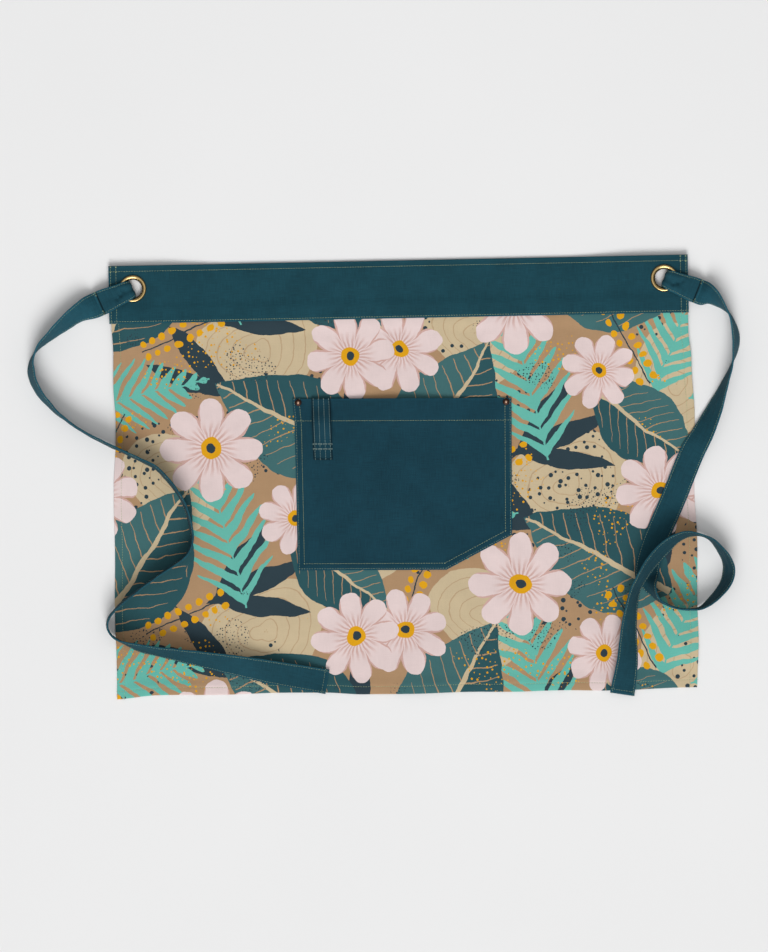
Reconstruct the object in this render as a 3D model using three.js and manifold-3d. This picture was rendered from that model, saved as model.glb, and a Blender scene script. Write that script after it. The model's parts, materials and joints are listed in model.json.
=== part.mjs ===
// A short waist apron laid flat: a hemmed panel in a folded waistband, a patch pocket with a bevelled
// corner, a towel loop and two rivets, and two flat ties, each threaded through a brass eyelet.
// Millimetres. X runs along the waistband, Y towards it, Z up. The origin is under the middle.
import * as THREE from "three";
import { mergeVertices } from "three/addons/utils/BufferGeometryUtils.js";
import Module from "manifold-3d";

const wasm = await Module();
wasm.setup();

const { degToRad, lerp, smoothstep } = THREE.MathUtils;

// Whole apron
const APRON_WIDTH = 700;
const APRON_HEIGHT = 520;
const GAP = 0.3;
const HALF_WIDTH = APRON_WIDTH / 2;
const TOP = APRON_HEIGHT / 2;
const BOTTOM = -APRON_HEIGHT / 2;

// Panel
const PANEL_WALL = 1.0;
const PANEL_STEP = 26;
const HEM_WIDTH = 10;
const HEM_WALL = 2.2;
const HEM_STEP = 0.6;
const HEM_SETTLE = 16;

// Waistband, two plies with the panel's top edge between them
const BAND_HEIGHT = 70;
const BAND_WALL = 1.2;
const PLY_GAP = 0.4;
const SEAM_TUCK = 12;
const SEAM_CLEAR = 3;
const SEAM_RISE = 17;
const BAND_THICKNESS = 2 * BAND_WALL + PLY_GAP;
const SEAM_THICKNESS = 2 * BAND_WALL + PANEL_WALL + 2 * GAP;
const BAND_BOTTOM = TOP - BAND_HEIGHT;
const SEAM_LINE = BAND_BOTTOM - SEAM_CLEAR;

// The band's ends lie on the ties, so they are lifted, level from END_INNER out to the edge
const END_LIFT = 4.4;
const END_INNER = 295;
const END_RAMP = 90;
const END_FADE = 85;

// Eyelets
const EYELET_X = 321;
const EYELET_Y = 232;
const EYELET_HOLE = 11;
const EYELET_BARREL = 11.7;
const EYELET_FRONT = 16.5;
const EYELET_REAR = 15.5;
const EYELET_CROWN = 2.2;
const EYELET_REAR_WALL = 0.9;
const EYELET_SIDES = 28;
const CUTTER_LENGTH = 30;

// Pocket, in a group whose origin is the middle of its top edge on the panel
const POCKET_X = 2.6;
const POCKET_Y = 93.4;
const POCKET_TILT = -0.9;
const POCKET_WIDTH = 262.6;
const POCKET_DEPTH = 206;
const POCKET_WALL = 1.2;
const POCKET_COLUMNS = 20;
const POCKET_STEP = 16;
const POCKET_HEM = 27;
const POCKET_HEM_WALL = 2.0;
const BEVEL_RUN = 83;
const BEVEL_RISE = 44;
const POCKET_TUCK = 3.6;
const POCKET_FLARE = 2;
const POCKET_FLARE_DEPTH = 36;
const POCKET_RISE = 9;
const POCKET_RISE_HALF = 100;
const POCKET_FULL_DEPTH = 110;
const POCKET_FLAT_DEPTH = 190;

// Towel loop on the pocket
const LOOP_X = -99.1;
const LOOP_WIDTH = 22;
const LOOP_LENGTH = 74;
const LOOP_STEP = 4;
const LOOP_WALL = 1.8;
const LOOP_SEWN = 6;
const LOOP_TACKED = 54;
const LOOP_ARCH = 7.5;
const LOOP_LEAN = 0.033;

// Rivets
const RIVET_DEPTH = 4.8;
const RIVET_LEFT_INSET = 4.8;
const RIVET_RIGHT_INSET = 6.6;
const RIVET_RADIUS = 4.1;
const RIVET_RIM = 0.5;
const RIVET_DOME = 1.0;
const RIVET_SHOULDER_RADIUS = 3.3;
const RIVET_SHOULDER = 0.6;
const RIVET_NUB_RADIUS = 1.6;
const RIVET_NUB_TOP_RADIUS = 1.4;
const RIVET_NUB_SIDE = 0.5;
const RIVET_NUB = 0.7;
const RIVET_SIDES = 16;

// Ties
const STRAP_WIDTH = 30;
const STRAP_WALL = 2.0;
const STRAP_FLOOR = 0.4;
const STRAP_STEP = 14;
const STRAP_CELLS = 4;
const STRAP_NECK = 18.5;
const STRAP_NECK_REACH = 9;
const STRAP_FULL_REACH = 34;
const PLEAT_DEPTH = 0.8;
const FOLD_REACH = 0.5;
const FOLD_STEPS = 7;
const TAIL_REACH = 46;
const TAIL_TOP_REACH = 35;
const UNDER_REACH = 47;
const TAIL_STEP = 2.6;
const OVER_STEP = 9;

// Waves of the lying cloth: highest at (x, y), level again at the end of each reach
const WAVES = [
  { x: 20, y: -262, height: 4.0, reachX: 70, reachY: 110 },
  { x: 160, y: -262, height: 3.0, reachX: 55, reachY: 80 },
  { x: 340, y: -212, height: 2.4, reachX: 40, reachY: 34 },
  { x: 352, y: 122, height: 3.0, reachX: 70, reachY: 58 },
  { x: -352, y: 104, height: 3.0, reachX: 70, reachY: 56 },
];

// Each tie beyond its eyelet: where it goes, how far it is rolled over (0 lies face up, 90 or -90
// stands on its edge, 180 or -180 lies face down) and the height of its lower edge
const LEFT_RUN = [
  { x: -384.4, y: 205.2, roll: -42, low: 0.4 },
  { x: -403.6, y: 191.6, roll: -59, low: 0.4 },
  { x: -421, y: 177, roll: -73, low: 0.4 },
  { x: -436.4, y: 162.9, roll: -86, low: 0.4 },
  { x: -443.8, y: 148.4, roll: -99, low: 0.4 },
  { x: -445.4, y: 136.5, roll: -107, low: 0.4 },
  { x: -442.6, y: 122, roll: -107, low: 0.4 },
  { x: -435.6, y: 108.5, roll: -105, low: 0.4 },
  { x: -424.4, y: 93.8, roll: -101, low: 0.4 },
  { x: -407.5, y: 77.7, roll: -95, low: 0.4 },
  { x: -388.4, y: 63.4, roll: -93, low: 0.6 },
  { x: -364.5, y: 49.6, roll: -95, low: 2.6 },
  { x: -340.6, y: 37.7, roll: -95, low: 3.0 },
  { x: -316.6, y: 25.7, roll: -96, low: 1.8 },
  { x: -297.5, y: 15.6, roll: -97, low: 1.4 },
  { x: -283.3, y: 0.8, roll: -98, low: 1.4 },
  { x: -271.5, y: -15, roll: -97, low: 1.4 },
  { x: -262, y: -34, roll: -97, low: 1.4 },
  { x: -256.6, y: -54.7, roll: -97, low: 1.4 },
  { x: -255, y: -70.5, roll: -96, low: 1.4 },
  { x: -258.4, y: -85, roll: -95, low: 1.4 },
  { x: -267, y: -95, roll: -94, low: 1.4 },
  { x: -301.4, y: -118, roll: -94, low: 1.4 },
  { x: -322, y: -132.6, roll: -95, low: 1.8 },
  { x: -339.4, y: -146, roll: -95, low: 2.9 },
  { x: -351.7, y: -157.4, roll: -94, low: 2.9 },
  { x: -358.6, y: -167.5, roll: -94, low: 2.2 },
  { x: -359.4, y: -176.6, roll: -93, low: 2.0 },
  { x: -355.3, y: -185, roll: -92, low: 2.7 },
  { x: -346.4, y: -192, roll: -91, low: 3.0 },
  { x: -321.2, y: -201.6, roll: -107, low: 1.8 },
  { x: -297, y: -207, roll: -112, low: 1.4 },
  { x: -249, y: -216.3, roll: -128, low: 1.4 },
  { x: -200.7, y: -226.3, roll: -146, low: 1.8 },
  { x: -152.6, y: -236.4, roll: -165, low: 2.8 },
  { x: -95.4, y: -247.4, roll: -180, low: 3.0 },
];
const RIGHT_RUN = [
  { x: 377.2, y: 208.8, roll: 48, low: 0.4 },
  { x: 387.4, y: 200, roll: 73, low: 0.4 },
  { x: 394.6, y: 192, roll: 88, low: 0.4 },
  { x: 400, y: 184, roll: 97, low: 0.4 },
  { x: 405.8, y: 160.5, roll: 108, low: 0.4 },
  { x: 405.1, y: 146, roll: 105, low: 0.4 },
  { x: 398.7, y: 120.8, roll: 86, low: 0.4 },
  { x: 393, y: 107.6, roll: 80, low: 0.4 },
  { x: 380.6, y: 77.7, roll: 58, low: 0.8 },
  { x: 364.7, y: 45.4, roll: 34, low: 2.9 },
  { x: 351, y: 21.4, roll: 14, low: 3.1 },
  { x: 327.3, y: -33.8, roll: 0, low: 2.4 },
  { x: 307, y: -78, roll: 0, low: 1.4 },
  { x: 299.5, y: -97, roll: 2, low: 1.4 },
  { x: 294.3, y: -115, roll: 8, low: 1.4 },
  { x: 293, y: -128, roll: 24, low: 1.4 },
  { x: 295, y: -138, roll: 54, low: 1.4 },
  { x: 300, y: -148, roll: 76, low: 1.4 },
  { x: 308, y: -157.5, roll: 87, low: 1.4 },
  { x: 326.5, y: -166.2, roll: 90, low: 2.4 },
  { x: 344.6, y: -168.7, roll: 90, low: 2.9 },
  { x: 356.7, y: -167, roll: 94, low: 2.4 },
  { x: 369, y: -159, roll: 103, low: 0.6 },
  { x: 379.5, y: -148.5, roll: 108, low: 0.4 },
  { x: 388.8, y: -135.4, roll: 113, low: 0.4 },
  { x: 392, y: -122, roll: 115, low: 0.4 },
  { x: 389.3, y: -108.8, roll: 109, low: 0.4 },
  { x: 382.3, y: -97, roll: 103, low: 0.4 },
  { x: 373.4, y: -86.7, roll: 97, low: 0.8 },
  { x: 363.3, y: -80.5, roll: 92, low: 2.2 },
  { x: 352.4, y: -77.8, roll: 97, low: 3.6 },
  { x: 340.4, y: -78.2, roll: 105, low: 5 },
  { x: 325.7, y: -84.5, roll: 114, low: 8 },
  { x: 311, y: -97, roll: 122, low: 10 },
  { x: 297.4, y: -111.8, roll: 120, low: 12 },
  { x: 285.5, y: -129, roll: 115, low: 13 },
  { x: 277.3, y: -146.4, roll: 115, low: 7 },
  { x: 269.9, y: -186, roll: 128, low: 1.4 },
  { x: 267.2, y: -228.5, roll: 148, low: 1.8 },
  { x: 260.3, y: -269.5, roll: 172, low: 3.0 },
];

// Helpers

function finish(color, roughness, metalness) {
  return new THREE.MeshStandardMaterial({ color, roughness, metalness });
}

function piece(name, geometry, material) {
  const mesh = new THREE.Mesh(geometry, material);
  mesh.name = name;
  return mesh;
}

// Evenly spaced numbers from one end to the other, at most a step apart
function spread(from, to, step) {
  const count = Math.max(1, Math.ceil(Math.abs(to - from) / step));
  return Array.from({ length: count + 1 }, (_, i) => lerp(from, to, i / count));
}

// A rounded hump: 1 at the middle, 0 at the ends of its reach and beyond
function hump(distance, reach) {
  return Math.abs(distance) < reach ? 0.5 + 0.5 * Math.cos((Math.PI * distance) / reach) : 0;
}

// Six times the volume that the faces enclose, negative where they point inwards
function signedVolume(points, faces) {
  let sum = 0;
  for (let i = 0; i < faces.length; i += 3) {
    const [a, b, c] = faces.slice(i, i + 3).map((index) => points[index]);
    sum += a.dot(new THREE.Vector3().crossVectors(b, c));
  }
  return sum;
}

// The closed wall between two grids of points that have the same rows and columns
function wallBetween(front, back) {
  const rows = front.length;
  const columns = front[0].length;
  const points = [...front.flat(), ...back.flat()];
  const toBack = rows * columns;
  const at = (row, column) => row * columns + column;
  const faces = [];
  const quad = (a, b, c, d) => faces.push(a, b, c, a, c, d);
  for (let row = 0; row + 1 < rows; row++) {
    for (let column = 0; column + 1 < columns; column++) {
      const a = at(row, column);
      const b = at(row, column + 1);
      const c = at(row + 1, column + 1);
      const d = at(row + 1, column);
      quad(a, b, c, d);
      quad(d + toBack, c + toBack, b + toBack, a + toBack);
    }
  }
  const rim = [];
  for (let column = 0; column + 1 < columns; column++) rim.push(at(0, column));
  for (let row = 0; row + 1 < rows; row++) rim.push(at(row, columns - 1));
  for (let column = columns - 1; column > 0; column--) rim.push(at(rows - 1, column));
  for (let row = rows - 1; row > 0; row--) rim.push(at(row, 0));
  rim.forEach((a, i) => {
    const b = rim[(i + 1) % rim.length];
    quad(b, a, a + toBack, b + toBack);
  });
  if (signedVolume(points, faces) < 0) faces.reverse();
  return new THREE.BufferGeometry().setFromPoints(points).setIndex(faces);
}

// A wall below a surface given by two coordinates, with its thickness measured straight down
function wallBelow(us, vs, surfaceAt, wallAt) {
  const front = vs.map((v) => us.map((u) => surfaceAt(u, v)));
  const back = vs.map((v, row) =>
    us.map((u, column) => {
      const { x, y, z } = front[row][column];
      return new THREE.Vector3(x, y, z - wallAt(u, v));
    }),
  );
  return wallBetween(front, back);
}

// A profile of [radius, height] pairs turned about Z
function turned(profile, sides) {
  const points = profile.map(([radius, height]) => new THREE.Vector2(radius, height));
  return new THREE.LatheGeometry(points, sides).rotateX(Math.PI / 2);
}

// A geometry as a solid that can be cut
function solidOf(geometry) {
  const bare = geometry.clone();
  bare.deleteAttribute("normal");
  bare.deleteAttribute("uv");
  const merged = mergeVertices(bare);
  const triVerts = new Uint32Array(merged.index.array);
  const vertProperties = new Float32Array(merged.attributes.position.array);
  return new wasm.Manifold(new wasm.Mesh({ numProp: 3, vertProperties, triVerts }));
}

// A cut solid back as a geometry
function geometryOf(solid) {
  const { vertProperties, triVerts } = solid.getMesh();
  return new THREE.BufferGeometry()
    .setAttribute("position", new THREE.BufferAttribute(vertProperties, 3))
    .setIndex(new THREE.BufferAttribute(triVerts, 1));
}

// Panel

// Lines across the width that the panel and the band share, with a close pair at each side hem
function widthLines() {
  const hemLine = HALF_WIDTH - HEM_WIDTH;
  const field = spread(HEM_STEP - hemLine, hemLine - HEM_STEP, PANEL_STEP);
  return [-HALF_WIDTH, -hemLine, ...field, hemLine, HALF_WIDTH];
}

function endLift(x) {
  return END_LIFT * smoothstep(Math.abs(x), END_INNER - END_RAMP, END_INNER);
}

// Height of the lying cloth above the floor, without its hems
function drape(x, y) {
  const seam = (BAND_WALL + GAP) * smoothstep(y, SEAM_LINE - SEAM_RISE, SEAM_LINE);
  const end = endLift(x) * smoothstep(y, SEAM_LINE - END_FADE, SEAM_LINE);
  const heights = WAVES.map((wave) => {
    return wave.height * hump(x - wave.x, wave.reachX) * hump(y - wave.y, wave.reachY);
  });
  return heights.reduce((sum, height) => sum + height, seam + end);
}

function edgeDistance(x, y) {
  return Math.min(HALF_WIDTH - Math.abs(x), y - BOTTOM);
}

// The hem's extra thickness, which ends where the panel enters the band
function hemExtra(y) {
  return (HEM_WALL - PANEL_WALL) * (1 - smoothstep(y, SEAM_LINE - SEAM_RISE, SEAM_LINE));
}

function panelTop(x, y) {
  const settled = smoothstep(edgeDistance(x, y), HEM_WIDTH, HEM_WIDTH + HEM_SETTLE);
  return drape(x, y) + PANEL_WALL + hemExtra(y) * (1 - settled);
}

function makePanel() {
  const hemTop = BOTTOM + HEM_WIDTH;
  const ys = [
    BOTTOM,
    hemTop,
    ...spread(hemTop + HEM_STEP, SEAM_LINE - SEAM_RISE, PANEL_STEP),
    SEAM_LINE - SEAM_RISE / 2,
    SEAM_LINE,
    BAND_BOTTOM + SEAM_TUCK,
  ];
  const inHem = (x, y) => edgeDistance(x, y) < HEM_WIDTH + HEM_STEP / 2;
  const surfaceAt = (x, y) => new THREE.Vector3(x, y, panelTop(x, y));
  const wallAt = (x, y) => PANEL_WALL + (inHem(x, y) ? hemExtra(y) : 0);
  const print = finish(0xaa8468, 0.85, 0);
  return piece("apron_panel", wallBelow(widthLines(), ys, surfaceAt, wallAt), print);
}

// Waistband

// The band's section from the front ply's lower edge over the top fold to the back ply's lower edge
function bandSection() {
  const half = BAND_THICKNESS / 2;
  const seamEnd = BAND_BOTTOM + SEAM_TUCK + SEAM_CLEAR;
  const ply = (y, inner, outer) => ({ inner: [y, inner], outer: [y, outer] });
  const fold = (angle) => {
    const at = (radius) => [TOP - half + radius * Math.cos(angle), half + radius * Math.sin(angle)];
    return { inner: at(half - BAND_WALL), outer: at(half) };
  };
  return [
    ply(BAND_BOTTOM, SEAM_THICKNESS - BAND_WALL, SEAM_THICKNESS),
    ply(seamEnd, SEAM_THICKNESS - BAND_WALL, SEAM_THICKNESS),
    ply(seamEnd + SEAM_TUCK, BAND_THICKNESS - BAND_WALL, BAND_THICKNESS),
    ...[90, 45, 0, -45, -90].map((angle) => fold(degToRad(angle))),
    ply(BAND_BOTTOM, BAND_WALL, 0),
  ];
}

function makeWaistband() {
  const grid = (side) =>
    bandSection().map((row) => {
      const [y, z] = row[side];
      return widthLines().map((x) => new THREE.Vector3(x, y, z + endLift(x)));
    });
  let band = solidOf(wallBetween(grid("outer"), grid("inner")));
  const radius = EYELET_BARREL + GAP;
  for (const x of [-EYELET_X, EYELET_X]) {
    const hole = new THREE.CylinderGeometry(radius, radius, CUTTER_LENGTH, EYELET_SIDES);
    band = band.subtract(solidOf(hole.rotateX(Math.PI / 2).translate(x, EYELET_Y, 0)));
  }
  return piece("waistband", geometryOf(band), finish(0x1e4656, 0.85, 0));
}

// Eyelets

// A rolled front rim, a barrel through the band and a flat rear flange, with Z = 0 in mid-band
function makeEyelet(name, x) {
  const seat = BAND_THICKNESS / 2 + GAP;
  const rear = -seat - EYELET_REAR_WALL;
  const middle = (EYELET_HOLE + EYELET_FRONT) / 2;
  const reach = (EYELET_FRONT - EYELET_HOLE) / 2;
  const rim = [0, 30, 60, 90, 120, 150, 180].map((angle) => [
    middle + reach * Math.cos(degToRad(angle)),
    seat + EYELET_CROWN * Math.sin(degToRad(angle)),
  ]);
  const profile = [
    ...rim,
    [EYELET_HOLE, rear],
    [EYELET_REAR, rear],
    [EYELET_REAR, -seat],
    [EYELET_BARREL, -seat],
    [EYELET_BARREL, seat],
    rim[0],
  ];
  const eyelet = piece(name, turned(profile, EYELET_SIDES), finish(0xb8924a, 0.3, 1));
  eyelet.position.set(x, EYELET_Y, END_LIFT + BAND_THICKNESS / 2);
  return eyelet;
}

// Pocket

// The pocket's front surface above the panel: flat where it is sewn, gaping at the mouth
function pocketTop(x, y) {
  const hem = 1 - smoothstep(-y, POCKET_HEM, POCKET_HEM + HEM_SETTLE);
  const open = 1 - smoothstep(-y, POCKET_FULL_DEPTH, POCKET_FLAT_DEPTH);
  const flat = GAP + POCKET_WALL + (POCKET_HEM_WALL - POCKET_WALL) * hem;
  return flat + POCKET_RISE * hump(x, POCKET_RISE_HALF) * open;
}

// The left side runs in towards the foot and flares out at the mouth
function pocketLeft(y) {
  const flare = POCKET_FLARE * (1 - smoothstep(-y, 0, POCKET_FLARE_DEPTH));
  return -POCKET_WIDTH / 2 - (POCKET_TUCK * y) / POCKET_DEPTH - flare;
}

function pocketRight(y) {
  const below = Math.max(0, BEVEL_RISE - POCKET_DEPTH - y);
  return POCKET_WIDTH / 2 - (BEVEL_RUN * below) / BEVEL_RISE;
}

function makePocket() {
  const shares = spread(0, 1, 1 / POCKET_COLUMNS);
  const ys = [
    0,
    -POCKET_HEM,
    ...spread(-POCKET_HEM - HEM_STEP, BEVEL_RISE - POCKET_DEPTH, POCKET_STEP),
    ...spread(BEVEL_RISE - POCKET_DEPTH, -POCKET_DEPTH, POCKET_STEP).slice(1),
  ];
  const surfaceAt = (share, y) => {
    const x = lerp(pocketLeft(y), pocketRight(y), share);
    return new THREE.Vector3(x, y, pocketTop(x, y));
  };
  const wallAt = (share, y) => (-y < POCKET_HEM + HEM_STEP / 2 ? POCKET_HEM_WALL : POCKET_WALL);
  return piece("pocket", wallBelow(shares, ys, surfaceAt, wallAt), finish(0x1c3e50, 0.85, 0));
}

// A strip sewn down at the pocket's top edge and tacked lower down, standing off between
function makeTowelLoop() {
  const xs = spread(LOOP_X - LOOP_WIDTH / 2, LOOP_X + LOOP_WIDTH / 2, LOOP_WIDTH / 2);
  const free = LOOP_TACKED - LOOP_SEWN;
  const surfaceAt = (across, y) => {
    const x = across - LOOP_LEAN * y;
    const arch = LOOP_ARCH * hump(LOOP_SEWN + free / 2 + y, free / 2);
    return new THREE.Vector3(x, y, pocketTop(x, y) + GAP + arch + LOOP_WALL);
  };
  const ys = spread(0, -LOOP_LENGTH, LOOP_STEP);
  const wallAt = () => LOOP_WALL;
  return piece("towel_loop", wallBelow(xs, ys, surfaceAt, wallAt), finish(0x1c4456, 0.85, 0));
}

// A shallow domed head with a raised nub
function makeRivet(name, x) {
  const domeTop = RIVET_RIM + RIVET_DOME;
  const profile = [
    [0, 0],
    [RIVET_RADIUS, 0],
    [RIVET_RADIUS, RIVET_RIM],
    [RIVET_SHOULDER_RADIUS, RIVET_RIM + RIVET_SHOULDER],
    [RIVET_NUB_RADIUS, domeTop],
    [RIVET_NUB_TOP_RADIUS, domeTop + RIVET_NUB_SIDE],
    [0, domeTop + RIVET_NUB],
  ];
  const rivet = piece(name, turned(profile, RIVET_SIDES), finish(0x6b4632, 0.4, 1));
  rivet.position.set(x, -RIVET_DEPTH, pocketTop(x, -RIVET_DEPTH) + GAP);
  return rivet;
}

// Ties

// How a tie is gathered at a distance from the middle of its eyelet
function gatherAt(reach) {
  const opened = smoothstep(reach, STRAP_NECK_REACH, STRAP_FULL_REACH);
  return { width: lerp(STRAP_NECK, STRAP_WIDTH, opened), pleat: lerp(PLEAT_DEPTH, 0, opened) };
}

function levelLeft(direction) {
  return new THREE.Vector3(-direction.y, direction.x, 0).normalize();
}

// Stations of the tail from its sewn end over the band and the eyelet and down through the hole
function tailStations(hole, out) {
  const under = STRAP_FLOOR + STRAP_WALL / 2;
  const tail = under + STRAP_WALL + STRAP_FLOOR;
  const crown = END_LIFT + BAND_THICKNESS + GAP + EYELET_CROWN;
  const over = crown + GAP + PLEAT_DEPTH + STRAP_WALL / 2;
  const radius = (over - under) / 2;
  const foldEnd = FOLD_REACH + radius;
  const across = levelLeft(out);
  const reaches = [
    ...spread(TAIL_REACH, TAIL_TOP_REACH, TAIL_STEP),
    ...spread(TAIL_TOP_REACH, foldEnd, OVER_STEP).slice(1, -1),
  ];
  const top = reaches.map((reach) => ({
    reach,
    z: lerp(over, tail, smoothstep(reach, TAIL_TOP_REACH, TAIL_REACH)),
  }));
  const fold = spread(90, 270, 180 / FOLD_STEPS).map((angle) => ({
    reach: foldEnd + radius * Math.cos(degToRad(angle)),
    z: under + radius + radius * Math.sin(degToRad(angle)),
  }));
  return [...top, ...fold].map(({ reach, z }) => {
    const { width, pleat } = gatherAt(reach);
    const height = (z - under) / (over - under);
    const centre = hole.clone().addScaledVector(out, reach).setZ(z);
    return { centre, across, width, pleat: pleat * height };
  });
}

// Stations of the long free run, from the fold in the hole out under the band and along the table
function runStations(hole, out, run) {
  const under = [STRAP_NECK_REACH, UNDER_REACH].map((reach) => {
    const { x, y } = hole.clone().addScaledVector(out, reach);
    return { x, y, roll: 0, low: STRAP_FLOOR };
  });
  const rows = [...under, ...run];
  const last = rows.length - 1;
  const plan = new THREE.CatmullRomCurve3(rows.map(({ x, y }) => new THREE.Vector3(x, y, 0)));
  return rows.slice(0, -1).flatMap((row, i) => {
    const next = rows[i + 1];
    const shares = spread(0, 1, STRAP_STEP / Math.hypot(next.x - row.x, next.y - row.y));
    return shares.slice(0, i + 1 < last ? -1 : undefined).map((share) => {
      const place = (i + share) / last;
      const roll = degToRad(lerp(row.roll, next.roll, share));
      const centre = plan.getPoint(place);
      const gather = gatherAt(centre.distanceTo(hole));
      const rise = 0.5 * (gather.width * Math.abs(Math.sin(roll)) + STRAP_WALL * Math.abs(Math.cos(roll)));
      centre.z = lerp(row.low, next.low, share) + rise;
      const across = levelLeft(plan.getTangent(place)).multiplyScalar(Math.cos(roll));
      return { centre, across: across.setZ(Math.sin(roll)), width: gather.width, pleat: 0 };
    });
  });
}

// A flat ribbon through its stations, pleated lengthwise where it is gathered
function ribbon(stations) {
  const centres = stations.map(({ centre }) => centre);
  const side = (sign) =>
    stations.map(({ centre, across, width, pleat }, i) => {
      const before = centres[Math.max(0, i - 1)];
      const after = centres[Math.min(centres.length - 1, i + 1)];
      const normal = after.clone().sub(before).cross(across).normalize();
      return spread(-0.5, 0.5, 1 / STRAP_CELLS).map((share, column) => {
        const crease = column % 2 ? -pleat : pleat;
        const offset = crease + (sign * STRAP_WALL) / 2;
        return centre.clone().addScaledVector(across, share * width).addScaledVector(normal, offset);
      });
    });
  return wallBetween(side(1), side(-1));
}

function makeStrap(name, x, run) {
  const hole = new THREE.Vector3(x, EYELET_Y, 0);
  const out = new THREE.Vector3(run[0].x, run[0].y, 0).sub(hole).normalize();
  const stations = [...tailStations(hole, out), ...runStations(hole, out, run)];
  return piece(name, ribbon(stations), finish(0x225464, 0.85, 0));
}

// Assembly

const pocketGroup = new THREE.Group();
pocketGroup.position.set(POCKET_X, POCKET_Y, PANEL_WALL);
pocketGroup.rotation.z = degToRad(POCKET_TILT);
pocketGroup.add(
  makePocket(),
  makeTowelLoop(),
  makeRivet("rivet_left", RIVET_LEFT_INSET - POCKET_WIDTH / 2),
  makeRivet("rivet_right", POCKET_WIDTH / 2 - RIVET_RIGHT_INSET),
);

const apron = new THREE.Group();
apron.add(
  makePanel(),
  makeWaistband(),
  makeEyelet("eyelet_left", -EYELET_X),
  makeEyelet("eyelet_right", EYELET_X),
  pocketGroup,
  makeStrap("strap_left", -EYELET_X, LEFT_RUN),
  makeStrap("strap_right", EYELET_X, RIGHT_RUN),
);

export default apron;
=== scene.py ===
"""A short waist apron laid flat: its printed panel, waistband, pocket, ties, stitching and metal.

Metres. X runs along the waistband, Y towards it and Z up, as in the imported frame.
"""

import json
import math

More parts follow.
